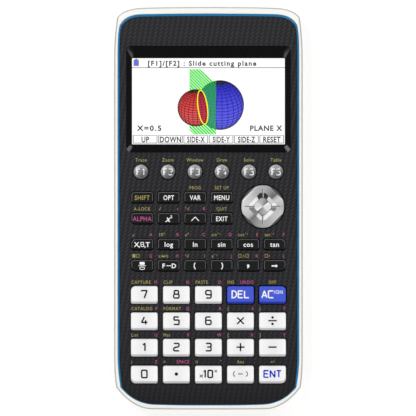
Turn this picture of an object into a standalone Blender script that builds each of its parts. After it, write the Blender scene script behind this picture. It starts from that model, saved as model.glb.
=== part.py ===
"""A full-size graphing calculator, modelled as it comes apart on a bench.

It lies on its back with its keys up. +X is to the right of the keypad, +Y is towards the display end and +Z
is out of the keys. The origin is the middle of the footprint, on the surface that the feet stand on.

Every size below is in millimetres, and MM turns it into Blender's metres. Touching parts keep a small gap,
because each of them is a closed mesh of its own.
"""

import math

import bpy
from mathutils import Vector

MM = 0.001

# Heights through the case, from the feet up to the tops of the number keys.
BACK_Z = 0.5
FLOOR_TOP_Z = 2.0
BOARD_Z = (9.4, 10.6)
MEMBRANE_Z = (11.0, 11.6)
DOME_TOP_Z = 13.0
LCD_Z = (13.05, 14.35)
WINDOW_Z = (14.5, 15.2)
PLATE_UNDER_Z = 15.35
PLATE_TOP_Z = 17.0
RIM_Z = 16.4
NUMBER_KEY_TOP_Z = 18.6
SMALL_KEY_TOP_Z = 18.2
FUNCTION_KEY_TOP_Z = 18.0

# Outlines of the case's right half, from the top's middle to the bottom's, as cubic curves: each has its two
# handles, its end point and the number of straight pieces it is drawn with.
CASE_START = (0.0, 94.25)
CASE_CURVES = (
    ((12.0, 94.25), (22.0, 94.15), (31.0, 93.9), 3),
    ((38.5, 93.6), (41.3, 91.6), (43.0, 89.5), 5),
    ((43.9, 84.0), (44.5, 78.0), (44.5, 69.0), 3),
    ((44.5, 23.0), (44.5, -23.0), (44.5, -69.0), 1),
    ((44.5, -76.0), (44.1, -80.5), (43.4, -84.3), 3),
    ((39.5, -89.3), (33.5, -93.9), (27.0, -94.1), 5),
    ((18.0, -94.25), (9.0, -94.25), (0.0, -94.25), 1),
)
TRIM_START = (0.0, 91.3)
TRIM_CURVES = (
    ((12.0, 91.3), (22.0, 91.2), (31.0, 91.0), 3),
    ((37.0, 90.8), (39.6, 89.2), (41.6, 86.0), 5),
    ((42.5, 82.5), (42.6, 77.0), (42.6, 69.0), 3),
    ((42.6, 23.0), (42.6, -23.0), (42.6, -69.0), 1),
    ((42.6, -75.0), (41.9, -80.5), (41.2, -84.3), 3),
    ((37.5, -88.6), (32.5, -91.6), (26.0, -92.0), 5),
    ((18.0, -92.3), (9.0, -92.3), (0.0, -92.3), 1),
)
GAP = 0.1
TOUCH = 0.3
SUNK = 0.5  # how deep a joined piece is rooted in its neighbour
PAST = 1.0  # how far a cutter runs past the face that it cuts

# Rear case: how far each level of its outside lies in from the case outline, and each level of its inside
# from the trim outline.
REAR_OUTSIDE = ((BACK_Z, 4.0), (1.6, 1.5), (4.0, 0.4), (8.0, 0.0), (12.5, 0.1), (15.5, 0.3), (RIM_Z, 0.8))
REAR_INSIDE = ((FLOOR_TOP_Z, 2.2), (4.2, 0.8), (8.5, -GAP), (RIM_Z + 1.0, -GAP))
FOOT_RADIUS = 3.4
FOOT_PLACES = ((33.0, 73.0), (-33.0, 73.0), (33.0, -74.0), (-33.0, -74.0))
BOSS_PLACES = ((34.0, 84.5), (-34.0, 84.5), (37.6, 24.0), (-37.6, 24.0), (24.0, -87.9), (-24.0, -87.9))
BOSS_RADIUS = 2.9
BOSS_TOP_Z = 12.8
SCREW_HEAD_RADIUS = 2.1
SCREW_SHANK_RADIUS = 1.1
SCREW_SEAT_Z = 2.0
SCREW_END_Z = 11.8
END_WALL_Y = (88.0, 96.0)

# Battery bay behind the display, its hinged cover and four AAA cells.
BAY_HALF_WIDTH = 22.6
BAY_Y = (23.1, 77.6)
BAY_WALL = 1.2
BAY_CEILING_Z = 12.2
BAY_ROOF = 0.7
COVER_THICKNESS = 1.1
COVER_CORNER = 1.0
COVER_SOFT_EDGE = 0.2
COVER_TAB_X = (12.0, 17.0)
COVER_TAB_Z = (FLOOR_TOP_Z + 0.15, FLOOR_TOP_Z + 0.85)
COVER_TAB_REACH = 1.7
COVER_TAB_ROOT = 1.3
TAB_SLOT = (0.4, 0.8, 2.2)  # its spare width each side, its depth past the bay's wall and its height
FINGER_SCOOP = (1.6, 8.0, 0.6)  # its centre past the cover's end, its radius and its depth
NAIL_NOTCH = (6.0, 1.6, 0.5)
CELL_DIAMETER = 10.3
CELL_PITCH = 10.5
CELL_LENGTH = 43.7
CELL_COUNT = 4
CELL_NUB = (2.7, 0.9)
CELL_END_Y = 28.4
CELL_NECK = 0.6
CELL_AXIS_Z = BACK_Z + COVER_THICKNESS + 0.15 + CELL_DIAMETER / 2

# Trim ring and front case.
TRIM_Z = (14.0, 16.7)
PLATE_CHAMFER = 0.3
SKIRT_Z = 13.2
SKIRT_THICKNESS = 1.2
POST_RADIUS = 2.4
WINDOW_MOUTH = (38.6, 26.1, 75.8, 2.5)
WINDOW_THROAT = (35.9, 29.8, 70.4, 0.5)
WINDOW_THROAT_Z = 15.9
WINDOW_PANE = (38.4, 26.7, 75.2, 1.5)
LCD_OUTLINE = (38.4, 27.0, 74.6, 0.8)
LCD_STEP = (0.8, 0.3)

# Keypad: centres, cap sizes and corner radii. A cap fills its hole less KEY_CLEARANCE all round, and its
# flange under the plate keeps it in.
KEY_CLEARANCE = 0.25
KEY_FLANGE = 0.7
KEY_FLANGE_Z = (14.3, 15.1)
FUNCTION_KEY_RADIUS = 3.5
FUNCTION_ROW_Y = 17.0
FUNCTION_PITCH = 12.68
SMALL_KEY_SIZE = (10.35, 5.6)
SMALL_KEY_CORNER = 0.7
SMALL_PITCH = 12.45
SMALL_ROWS = (
    (4.8, ("shift", "options", "variables", "menu")),
    (-5.1, ("alpha", "square", "power", "exit")),
    (-17.2, ("x_theta_t", "log", "ln", "sin", "cos", "tan")),
    (-27.2, ("fraction", "decimal_toggle", "open_bracket", "close_bracket", "comma", "arrow")),
)
SMALL_COLUMNS = 6
NUMBER_KEY_SIZE = (12.75, 8.4)
NUMBER_KEY_CORNER = 1.0
NUMBER_PITCH = 15.05
NUMBER_ROWS = (
    (-40.8, ("7", "8", "9", "delete", "clear_on")),
    (-53.2, ("4", "5", "6", "multiply", "divide")),
    (-65.6, ("1", "2", "3", "plus", "minus")),
    (-78.2, ("0", "point", "exponent", "negate", "execute")),
)
NUMBER_COLUMNS = 5
BLUE_KEYS = ("delete", "clear_on")
# Each block of keys is rounder at its outer corners: the key, the corner as signs of X and Y, and its radius.
BLOCK_CORNERS = {
    "shift": (-1, 1, 1.4),
    "alpha": (-1, -1, 2.2),
    "x_theta_t": (-1, 1, 2.2),
    "tan": (1, 1, 2.2),
    "fraction": (-1, -1, 2.2),
    "arrow": (1, -1, 2.2),
    "7": (-1, 1, 2.3),
    "clear_on": (1, 1, 2.3),
    "0": (-1, -1, 2.3),
    "execute": (1, -1, 2.3),
}

# Cursor pad, which rocks on a gimbal ring with knife edges below it on X and above it on Y.
PAD_CENTRE = (25.5, 0.7)
PAD_RADIUS = 10.05
PAD_FLAT = 9.1
PAD_HOLE_RADIUS = 10.55
PAD_FLANGE = (11.2, 13.9, 14.6)
PAD_TOP_Z = 18.1
PAD_SHOULDER_Z = 17.7
PAD_GROOVE = (4.1, 6.3, 17.6)
PAD_SIDES = 24
PAD_CHAMFER = 0.6
PAD_BUTTON_CHAMFER = 0.4
RING_RADII = (4.6, 6.4)
RING_Z = (12.4, 13.2)
RING_EDGE = (0.6, 0.5)  # half the length and half the width of a knife edge
PIVOT_AXIS_Z = 11.8
PAD_AXIS_Z = 13.7
PAD_DOME_REACH = 8.9

# Circuit board, keypad membrane and the sockets on the board's end.
BOARD_HALF_WIDTH = 36.9
BOARD_Y = (-84.8, 88.0)
BOARD_CORNER = 2.0
BOARD_MARGIN = 0.4
MEMBRANE_Y = (-84.6, 20.6)
DOME_RADII = (2.3, 1.5)
PAD_DOME_RADII = (1.5, 1.2)
USB_PLACE = (-12.0, 7.2)
USB_SHELL = (7.8, 4.0, 0.5)
USB_Y = (84.0, 93.0)
USB_CORNER = 0.4
JACK_PLACE = (10.0, 6.4)
JACK_RADII = (2.9, 1.25)
JACK_Y = (83.5, 93.2)
SOCKET_WALL = 1.0

# Restart button, sunk in the back so that only a thin tool presses it.
RESTART_PLACE = (31.0, -30.0)
RESTART_RADII = (0.9, 1.7, 0.7)
RESTART_Z = (0.9, 2.4, 3.2, 8.7)


def clear_scene():
    for obj in list(bpy.data.objects):
        bpy.data.objects.remove(obj, do_unlink=True)


def finish(name, colour, roughness, metallic=0.0, alpha=1.0):
    """A Principled material."""
    material = bpy.data.materials.new(name)
    material.use_nodes = True
    shader = material.node_tree.nodes["Principled BSDF"]
    shader.inputs["Base Color"].default_value = (*colour, 1.0)
    shader.inputs["Roughness"].default_value = roughness
    shader.inputs["Metallic"].default_value = metallic
    shader.inputs["Alpha"].default_value = alpha
    material.diffuse_color = (*colour, alpha)
    return material


class Solid:
    """Closed bodies gathered into one mesh."""

    def __init__(self):
        self.points = []
        self.faces = []

    def loft(self, rings):
        """Joins equal rings of 3-D points, anticlockwise as the last ring sees them, and closes both ends."""
        start, count = len(self.points), len(rings[0])
        for ring in rings:
            self.points += [Vector(point) for point in ring]
        self.faces.append([start + i for i in reversed(range(count))])
        for level in range(len(rings) - 1):
            low = start + level * count
            for i in range(count):
                j = (i + 1) % count
                self.faces.append([low + i, low + j, low + count + j, low + count + i])
        self.faces.append([start + (len(rings) - 1) * count + i for i in range(count)])
        return self

    def tower(self, levels):
        """Lofts (outline, z) levels, bottom first, or up the outside and then down a hole."""
        return self.loft([[(x, y, z) for x, y in outline] for outline, z in levels])

    def along_y(self, levels):
        """Lofts (outline, y) levels, lowest y first, with each outline's second coordinate as the height."""
        return self.loft([[(x, y, z) for x, z in reversed(outline)] for outline, y in levels])

    def box(self, low, high):
        corners = ((low[0], low[1]), (high[0], low[1]), (high[0], high[1]), (low[0], high[1]))
        return self.tower([(corners, low[2]), (corners, high[2])])

    def drum(self, centre, radius, z_span, sides=16):
        outline = circle(radius, sides, centre)
        return self.tower([(outline, z_span[0]), (outline, z_span[1])])

    def mesh(self, name, origin):
        mesh = bpy.data.meshes.new(name)
        mesh.from_pydata([(point - Vector(origin)) * MM for point in self.points], [], self.faces)
        mesh.update()
        return mesh

    def build(self, name, material, origin=(0.0, 0.0, 0.0)):
        """The named part, with its own origin at the given point in millimetres."""
        mesh = self.mesh(name, origin)
        mesh.materials.append(material)
        obj = bpy.data.objects.new(name, mesh)
        obj.location = Vector(origin) * MM
        bpy.context.collection.objects.link(obj)
        return obj

    def guide(self, name):
        """A hidden body that other parts are cut or joined with."""
        obj = bpy.data.objects.new(name, self.mesh(name, (0.0, 0.0, 0.0)))
        obj.hide_render = True
        obj.display_type = "WIRE"
        bpy.context.collection.objects.link(obj)
        return obj


def combine(obj, operation, guide):
    modifier = obj.modifiers.new(guide.name, "BOOLEAN")
    modifier.operation = operation
    modifier.solver = "EXACT"
    modifier.object = guide


def circle(radius, sides, centre=(0.0, 0.0)):
    turns = [2 * math.pi * i / sides for i in range(sides)]
    return [(centre[0] + radius * math.cos(a), centre[1] + radius * math.sin(a)) for a in turns]


def rounded_box(half_width, y_low, y_high, radius, centre_x=0.0, corner_radii=None, steps=2):
    """An anticlockwise rectangle with round corners. corner_radii maps a corner, as signs, to its radius."""
    outline = []
    for sign_x, sign_y, first in ((1, -1, -90), (1, 1, 0), (-1, 1, 90), (-1, -1, 180)):
        r = (corner_radii or {}).get((sign_x, sign_y), radius)
        x = centre_x + sign_x * (half_width - r)
        y = (y_high if sign_y > 0 else y_low) - sign_y * r
        for step in range(steps + 1):
            a = math.radians(first + 90 * step / steps)
            outline.append((x + r * math.cos(a), y + r * math.sin(a)))
    return outline


def mirrored_outline(start, curves):
    """An anticlockwise outline from the curves of its right half."""
    half = [Vector(start)]
    for handle_a, handle_b, end, pieces in curves:
        a, b, c, d = half[-1].copy(), Vector(handle_a), Vector(handle_b), Vector(end)
        for i in range(1, pieces + 1):
            t = i / pieces
            s = 1 - t
            half.append(s**3 * a + 3 * s * s * t * b + 3 * s * t * t * c + t**3 * d)
    right = [tuple(point) for point in reversed(half)]
    left = [(-x, y) for x, y in reversed(right[1:-1])]
    return right + left


def inset(outline, amount):
    """Moves each side of an anticlockwise outline in by amount, a number or a function of the height y."""
    moved = []
    for i, point in enumerate(outline):
        here = Vector(point)
        before = (here - Vector(outline[i - 1])).normalized()
        after = (Vector(outline[(i + 1) % len(outline)]) - here).normalized()
        inward = Vector((-before.y - after.y, before.x + after.x)).normalized()
        across = inward.dot(Vector((-before.y, before.x)))
        width = amount(point[1]) if callable(amount) else amount
        moved.append(tuple(here + inward * (width / across)))
    return moved


def ramp(value, low, high):
    return min(1.0, max(0.0, (value - low) / (high - low)))


def trim_width(y):
    """The blue edge is a hairline along the bottom, wider up the sides and widest along the top."""
    return 0.3 + 0.5 * ramp(y, -88.0, -80.0) + 0.3 * ramp(y, 84.0, 90.5)


def mirror_pair(low, high):
    """The two spans of X that a feature and its mirror image fill."""
    return ((low, high), (-high, -low))


class Key:
    """One key: its name, place, cap outline at a given growth, and heights."""

    def __init__(self, name, centre, top_z, material, outline, soft_edge):
        self.name = name
        self.centre = centre
        self.top_z = top_z
        self.material = material
        self.outline = outline
        self.soft_edge = soft_edge

    def build(self):
        flange, low, high = self.outline(KEY_FLANGE), KEY_FLANGE_Z[0], KEY_FLANGE_Z[1]
        side = self.outline(0.0)
        levels = [(flange, low), (flange, high), (side, high), (side, self.top_z - self.soft_edge)]
        levels.append((self.outline(-self.soft_edge), self.top_z))
        Solid().tower(levels).build(f"key_{self.name}", self.material, (*self.centre, self.top_z))


def round_outline(centre, radius):
    return lambda growth: circle(radius + growth, 16, centre)


def cap_outline(centre, size, corner, name):
    """The outline of a rectangular cap, rounder at its block's outer corner."""

    def outline(growth):
        radii = {}
        if name in BLOCK_CORNERS:
            sign_x, sign_y, radius = BLOCK_CORNERS[name]
            radii[(sign_x, sign_y)] = radius + growth
        half_width, half_height = size[0] / 2 + growth, size[1] / 2 + growth
        low, high = centre[1] - half_height, centre[1] + half_height
        return rounded_box(half_width, low, high, max(corner + growth, 0.2), centre[0], radii)

    return outline


def all_keys(dark, white, blue, metal):
    """Every key, in the order that a reader meets them, top row first."""
    keys = []
    for i in range(6):
        centre = ((i - 2.5) * FUNCTION_PITCH, FUNCTION_ROW_Y)
        outline = round_outline(centre, FUNCTION_KEY_RADIUS)
        keys.append(Key(f"f{i + 1}", centre, FUNCTION_KEY_TOP_Z, metal, outline, 0.5))
    small_cap = (SMALL_KEY_SIZE, SMALL_KEY_CORNER, SMALL_KEY_TOP_Z, dark)
    number_cap = (NUMBER_KEY_SIZE, NUMBER_KEY_CORNER, NUMBER_KEY_TOP_Z, white)
    blocks = (
        (SMALL_ROWS, SMALL_COLUMNS, SMALL_PITCH, small_cap),
        (NUMBER_ROWS, NUMBER_COLUMNS, NUMBER_PITCH, number_cap),
    )
    for rows, columns, pitch, (size, corner, top_z, material) in blocks:
        for y, names in rows:
            for column, name in enumerate(names):
                centre = ((column - (columns - 1) / 2) * pitch, y)
                outline = cap_outline(centre, size, corner, name)
                chosen = blue if name in BLUE_KEYS else material
                keys.append(Key(name, centre, top_z, chosen, outline, 0.4))
    return keys


def build_rear_case(case_outline, trim_outline, material):
    """The white tub: floor, walls and rim, with the battery bay, screw bosses, feet and socket mouths."""
    shell = Solid().tower([(inset(case_outline, amount), z) for z, amount in REAR_OUTSIDE])
    rear = shell.build("rear_case", material)
    inside = Solid().tower([(inset(trim_outline, amount), z) for z, amount in REAR_INSIDE])
    combine(rear, "DIFFERENCE", inside.guide("rear_inside"))

    additions = Solid()
    half, (low_y, high_y) = BAY_HALF_WIDTH + BAY_WALL, BAY_Y
    bay_low = (-half, low_y - BAY_WALL, FLOOR_TOP_Z - SUNK - 0.2)
    additions.box(bay_low, (half, high_y + BAY_WALL, BAY_CEILING_Z + BAY_ROOF))
    for place in BOSS_PLACES:
        additions.drum(place, BOSS_RADIUS, (FLOOR_TOP_Z - SUNK, BOSS_TOP_Z))
    for place in FOOT_PLACES:
        additions.drum(place, FOOT_RADIUS, (0.0, BACK_Z + SUNK))
    combine(rear, "UNION", additions.guide("rear_additions"))

    cuts = Solid()
    cuts.box((-BAY_HALF_WIDTH, low_y, -PAST), (BAY_HALF_WIDTH, high_y, BAY_CEILING_Z))
    for place in BOSS_PLACES:
        head, shank = circle(SCREW_HEAD_RADIUS, 16, place), circle(SCREW_SHANK_RADIUS, 16, place)
        cuts.tower([(head, -PAST), (head, SCREW_SEAT_Z), (shank, SCREW_SEAT_Z), (shank, SCREW_END_Z)])
    usb_x, usb_z = USB_PLACE
    mouth = USB_SHELL[0] / 2 + TOUCH, USB_SHELL[1] / 2 + TOUCH
    wall_in, wall_out = END_WALL_Y
    cuts.box((usb_x - mouth[0], wall_in, usb_z - mouth[1]), (usb_x + mouth[0], wall_out, usb_z + mouth[1]))
    jack_mouth = circle(JACK_RADII[0] + TOUCH, 16, JACK_PLACE)
    cuts.along_y([(jack_mouth, wall_in), (jack_mouth, wall_out)])
    cuts.drum(RESTART_PLACE, RESTART_RADII[0] + TOUCH, (-PAST, FLOOR_TOP_Z + PAST), 12)
    combine(rear, "DIFFERENCE", cuts.guide("rear_cuts"))

    second = Solid()
    spare, deep, tall = TAB_SLOT
    slot_y = low_y - BAY_WALL - deep, low_y + SUNK
    for low_x, high_x in mirror_pair(COVER_TAB_X[0] - spare, COVER_TAB_X[1] + spare):
        second.box((low_x, slot_y[0], FLOOR_TOP_Z), (high_x, slot_y[1], FLOOR_TOP_Z + tall))
    past_end, scoop_radius, scoop_depth = FINGER_SCOOP
    second.drum((0.0, high_y + past_end), scoop_radius, (-PAST, BACK_Z + scoop_depth), 24)
    combine(rear, "DIFFERENCE", second.guide("rear_slots"))


def build_battery_cover(material):
    """The cover over the bay. Its origin is on the axis about which its free end is pulled out."""
    low_y, high_y = BAY_Y[0] + TOUCH, BAY_Y[1] - TOUCH
    half, inner_z = BAY_HALF_WIDTH - TOUCH, BACK_Z + COVER_THICKNESS
    plate = rounded_box(half, low_y, high_y, COVER_CORNER)
    soft = COVER_SOFT_EDGE
    inner = rounded_box(half - soft, low_y + soft, high_y - soft, COVER_CORNER - soft)
    levels = [(plate, BACK_Z), (plate, inner_z - soft), (inner, inner_z)]
    cover = Solid().tower(levels).build("battery_cover", material, (0.0, BAY_Y[0], BACK_Z))

    tabs = Solid()
    tip_y, root_y = BAY_Y[0] - COVER_TAB_REACH, low_y + COVER_TAB_ROOT
    for low_x, high_x in mirror_pair(*COVER_TAB_X):
        profile = [
            (low_y, inner_z - SUNK),
            (root_y, inner_z - SUNK),
            (root_y, COVER_TAB_Z[1]),
            (tip_y, COVER_TAB_Z[1]),
            (tip_y, COVER_TAB_Z[0]),
            (low_y, COVER_TAB_Z[0]),
        ]
        tabs.loft([[(x, y, z) for y, z in profile] for x in (low_x, high_x)])
    combine(cover, "UNION", tabs.guide("cover_tabs"))
    reach, deep, tall = NAIL_NOTCH
    low, high = (-reach, high_y - deep, BACK_Z - PAST), (reach, high_y + PAST, BACK_Z + tall)
    nail_notch = Solid().box(low, high)
    combine(cover, "DIFFERENCE", nail_notch.guide("cover_nail_notch"))


def build_battery_cells(material):
    """Four AAA cells side by side, touching along their lengths, so that they make one body."""
    radius, neck, steps = CELL_DIAMETER / 2, CELL_NECK, 8
    top = []
    for cell in range(CELL_COUNT):
        centre_x = (cell - (CELL_COUNT - 1) / 2) * CELL_PITCH
        for step in range(steps + 1):
            a = math.pi - math.pi * step / steps
            top.append((centre_x + radius * math.cos(a), max(radius * math.sin(a), neck)))
    outline = [(x, CELL_AXIS_Z - z) for x, z in top] + [(x, CELL_AXIS_Z + z) for x, z in reversed(top)]
    end_y = CELL_END_Y + CELL_LENGTH
    cells = Solid().along_y([(outline, CELL_END_Y), (outline, end_y)]).build("battery_cells", material)
    nubs = Solid()
    for cell in range(CELL_COUNT):
        centre = ((cell - (CELL_COUNT - 1) / 2) * CELL_PITCH, CELL_AXIS_Z)
        nub = circle(CELL_NUB[0], 12, centre)
        nubs.along_y([(nub, end_y - SUNK), (nub, end_y + CELL_NUB[1])])
    combine(cells, "UNION", nubs.guide("cell_nubs"))


def build_edge_trim(trim_outline, material):
    """The blue ring between the white rim and the front plate, closed as one tube."""
    inner = inset(trim_outline, trim_width)
    low, high = TRIM_Z
    ring = Solid().tower([(trim_outline, low), (trim_outline, high)]).build("edge_trim", material)
    hole = Solid().tower([(inner, low - PAST), (inner, high + PAST)])
    combine(ring, "DIFFERENCE", hole.guide("trim_hole"))


def build_front_case(trim_outline, keys, material):
    """The black front plate with its skirt, screw posts, key holes and sloped display surround."""
    edge = inset(trim_outline, lambda y: trim_width(y) + GAP)
    top_edge = inset(edge, PLATE_CHAMFER)
    levels = [(edge, SKIRT_Z), (edge, PLATE_TOP_Z - PLATE_CHAMFER), (top_edge, PLATE_TOP_Z)]
    front = Solid().tower(levels).build("front_case", material)
    hollow = inset(edge, SKIRT_THICKNESS)
    underside = Solid().tower([(hollow, SKIRT_Z - PAST), (hollow, PLATE_UNDER_Z)])
    combine(front, "DIFFERENCE", underside.guide("front_underside"))

    posts = Solid()
    for place in BOSS_PLACES:
        posts.drum(place, POST_RADIUS, (BOSS_TOP_Z + TOUCH, PLATE_UNDER_Z + SUNK), 12)
    combine(front, "UNION", posts.guide("front_posts"))

    holes = Solid()
    below, above = PLATE_UNDER_Z - PAST, PLATE_TOP_Z + PAST
    for key in keys:
        outline = key.outline(KEY_CLEARANCE)
        holes.tower([(outline, below), (outline, above)])
    holes.drum(PAD_CENTRE, PAD_HOLE_RADIUS, (below, above), 32)
    throat = rounded_box(*WINDOW_THROAT)
    mouth = rounded_box(*WINDOW_MOUTH)
    holes.tower([(throat, below), (throat, WINDOW_THROAT_Z), (mouth, PLATE_TOP_Z), (mouth, above)])
    combine(front, "DIFFERENCE", holes.guide("front_holes"))


def build_display(glass, panel):
    window = rounded_box(*WINDOW_PANE)
    Solid().tower([(window, WINDOW_Z[0]), (window, WINDOW_Z[1])]).build("display_window", glass)
    half_width, low_y, high_y, corner = LCD_OUTLINE
    frame = rounded_box(half_width, low_y, high_y, corner)
    border, drop = LCD_STEP
    face = rounded_box(half_width - border, low_y + border, high_y - border, corner)
    low, high = LCD_Z
    levels = [(frame, low), (frame, high - drop), (face, high - drop), (face, high)]
    Solid().tower(levels).build("lcd_panel", panel)


def build_circuit_board(material):
    """The board runs under the keys and round the battery bay, with a notch for each screw boss it meets."""
    outline = rounded_box(BOARD_HALF_WIDTH, *BOARD_Y, BOARD_CORNER)
    low, high = BOARD_Z
    board = Solid().tower([(outline, low), (outline, high)]).build("circuit_board", material)
    border = BAY_WALL + BOARD_MARGIN
    half = BAY_HALF_WIDTH + border
    cuts = Solid()
    cuts.box((-half, BAY_Y[0] - border, low - PAST), (half, BAY_Y[1] + border, high + PAST))
    for place in BOSS_PLACES[:4]:
        cuts.drum(place, BOSS_RADIUS + BOARD_MARGIN, (low - PAST, high + PAST))
    combine(board, "DIFFERENCE", cuts.guide("board_cuts"))


def build_keypad_membrane(keys, material):
    """The rubber sheet with a dome under each key, drawn as low as a pressed key leaves it."""
    outline = rounded_box(BOARD_HALF_WIDTH, *MEMBRANE_Y, BOARD_CORNER)
    low, high = MEMBRANE_Z
    sheet = Solid().tower([(outline, low), (outline, high)]).build("keypad_membrane", material)
    domes = Solid()
    places = [(key.centre, DOME_RADII) for key in keys]
    for x, y in circle(PAD_DOME_REACH, 4, PAD_CENTRE):
        places.append(((x, y), PAD_DOME_RADII))
    for centre, (foot, crown) in places:
        levels = [(circle(foot, 8, centre), high - SUNK / 2), (circle(crown, 8, centre), DOME_TOP_Z)]
        domes.tower(levels)
    combine(sheet, "UNION", domes.guide("membrane_domes"))


def pad_outline(radius, flat):
    """A circle with a flat across each diagonal."""
    outline = []
    for i in range(PAD_SIDES):
        a = 2 * math.pi * i / PAD_SIDES
        from_diagonal = (a % (math.pi / 2)) - math.pi / 4
        r = min(radius, flat / math.cos(from_diagonal))
        outline.append((PAD_CENTRE[0] + r * math.cos(a), PAD_CENTRE[1] + r * math.sin(a)))
    return outline


def build_cursor_pad(pad_material, ring_material):
    flange_radius, flange_low, flange_high = PAD_FLANGE
    groove_inner, groove_outer, groove_z = PAD_GROOVE
    flange = circle(flange_radius, PAD_SIDES, PAD_CENTRE)
    side = pad_outline(PAD_RADIUS, PAD_FLAT)
    shoulder = pad_outline(PAD_RADIUS - PAD_CHAMFER, PAD_FLAT - PAD_CHAMFER)
    outer = circle(groove_outer, PAD_SIDES, PAD_CENTRE)
    inner = circle(groove_inner, PAD_SIDES, PAD_CENTRE)
    button = circle(groove_inner - PAD_BUTTON_CHAMFER, PAD_SIDES, PAD_CENTRE)
    levels = [(flange, flange_low), (flange, flange_high), (side, flange_high), (side, PAD_SHOULDER_Z)]
    levels += [(shoulder, PAD_TOP_Z), (outer, PAD_TOP_Z), (outer, groove_z), (inner, groove_z)]
    levels += [(inner, PAD_SHOULDER_Z), (button, PAD_TOP_Z)]
    Solid().tower(levels).build("cursor_pad", pad_material, (*PAD_CENTRE, PAD_AXIS_Z))

    low, high = RING_Z
    rim = circle(RING_RADII[1], PAD_SIDES, PAD_CENTRE)
    hole = circle(RING_RADII[0], PAD_SIDES, PAD_CENTRE)
    disc = Solid().tower([(rim, low), (rim, high)])
    ring = disc.build("cursor_pivot", ring_material, (*PAD_CENTRE, PIVOT_AXIS_Z))
    bore = Solid().tower([(hole, low - PAST), (hole, high + PAST)])
    combine(ring, "DIFFERENCE", bore.guide("ring_bore"))
    edges = Solid()
    (x, y), (across, along) = PAD_CENTRE, RING_EDGE
    middle, root = sum(RING_RADII) / 2, SUNK / 2
    for reach in (-middle, middle):
        edge_low = (x + reach - along, y - across, MEMBRANE_Z[1] + TOUCH)
        edges.box(edge_low, (x + reach + along, y + across, low + root))
        edge_low = (x - across, y + reach - along, high - root)
        edges.box(edge_low, (x + across, y + reach + along, flange_low - TOUCH))
    combine(ring, "UNION", edges.guide("ring_edges"))


def build_sockets(steel, black):
    """The USB socket's shell and the link jack's barrel, both open towards +Y."""
    width, height, wall = USB_SHELL
    x, z = USB_PLACE

    def shell(shrink):
        half_height = height / 2 - shrink
        return rounded_box(width / 2 - shrink, z - half_height, z + half_height, USB_CORNER, x)

    back, front = USB_Y
    levels = [(shell(0.0), back), (shell(0.0), front)]
    levels += [(shell(wall), front), (shell(wall), back + SOCKET_WALL)]
    Solid().along_y(levels).build("usb_socket", steel)
    outer, bore = (circle(radius, 16, JACK_PLACE) for radius in JACK_RADII)
    back, front = JACK_Y
    levels = [(outer, back), (outer, front), (bore, front), (bore, back + SOCKET_WALL)]
    Solid().along_y(levels).build("link_jack", black)


def build_restart_button(material):
    tip, flange, stem = (circle(radius, 12, RESTART_PLACE) for radius in RESTART_RADII)
    tip_z, flange_low, flange_high, stem_z = RESTART_Z
    levels = [(tip, tip_z), (tip, flange_low), (flange, flange_low), (flange, flange_high)]
    levels += [(stem, flange_high), (stem, stem_z)]
    Solid().tower(levels).build("restart_button", material, (*RESTART_PLACE, tip_z))


def main():
    clear_scene()
    white = finish("white case plastic", (0.86, 0.86, 0.83), 0.35)
    blue = finish("blue trim plastic", (0.03, 0.2, 0.42), 0.25)
    black = finish("black textured plastic", (0.018, 0.018, 0.022), 0.45)
    glass = finish("clear window", (0.9, 0.92, 0.95), 0.05, alpha=0.2)
    panel = finish("display panel", (0.75, 0.78, 0.8), 0.2)
    board = finish("circuit board green", (0.02, 0.16, 0.07), 0.4)
    rubber = finish("keypad rubber", (0.5, 0.5, 0.52), 0.7)
    cell = finish("battery sleeve", (0.08, 0.08, 0.1), 0.3, 0.3)
    dark_key = finish("black key plastic", (0.03, 0.03, 0.035), 0.35)
    white_key = finish("white key plastic", (0.85, 0.85, 0.85), 0.3)
    blue_key = finish("blue key plastic", (0.05, 0.08, 0.5), 0.3)
    metal_key = finish("metal function key", (0.35, 0.35, 0.36), 0.3, 0.8)
    silver = finish("brushed cursor metal", (0.7, 0.7, 0.71), 0.25, 1.0)
    steel = finish("socket steel", (0.6, 0.6, 0.6), 0.3, 1.0)
    hard_black = finish("black hard plastic", (0.02, 0.02, 0.02), 0.5)

    case_outline = mirrored_outline(CASE_START, CASE_CURVES)
    trim_outline = mirrored_outline(TRIM_START, TRIM_CURVES)
    keys = all_keys(dark_key, white_key, blue_key, metal_key)

    build_rear_case(case_outline, trim_outline, white)
    build_battery_cover(white)
    build_battery_cells(cell)
    build_edge_trim(trim_outline, blue)
    build_front_case(trim_outline, keys, black)
    build_display(glass, panel)
    build_circuit_board(board)
    build_keypad_membrane(keys, rubber)
    build_cursor_pad(silver, hard_black)
    build_sockets(steel, hard_black)
    build_restart_button(hard_black)
    for key in keys:
        key.build()


main()
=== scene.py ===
"""A full-size graphing calculator on a pale studio floor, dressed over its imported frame.

Sizes here are in millimetres, and MM turns them into Blender's metres. The frame's axes are +X to the right
of the keypad, +Y towards the display end and +Z out of the keys.
"""

import logging
import math
from collections.abc import Callable, Iterable
from dataclasses import dataclass, field
from enum import Enum

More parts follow.
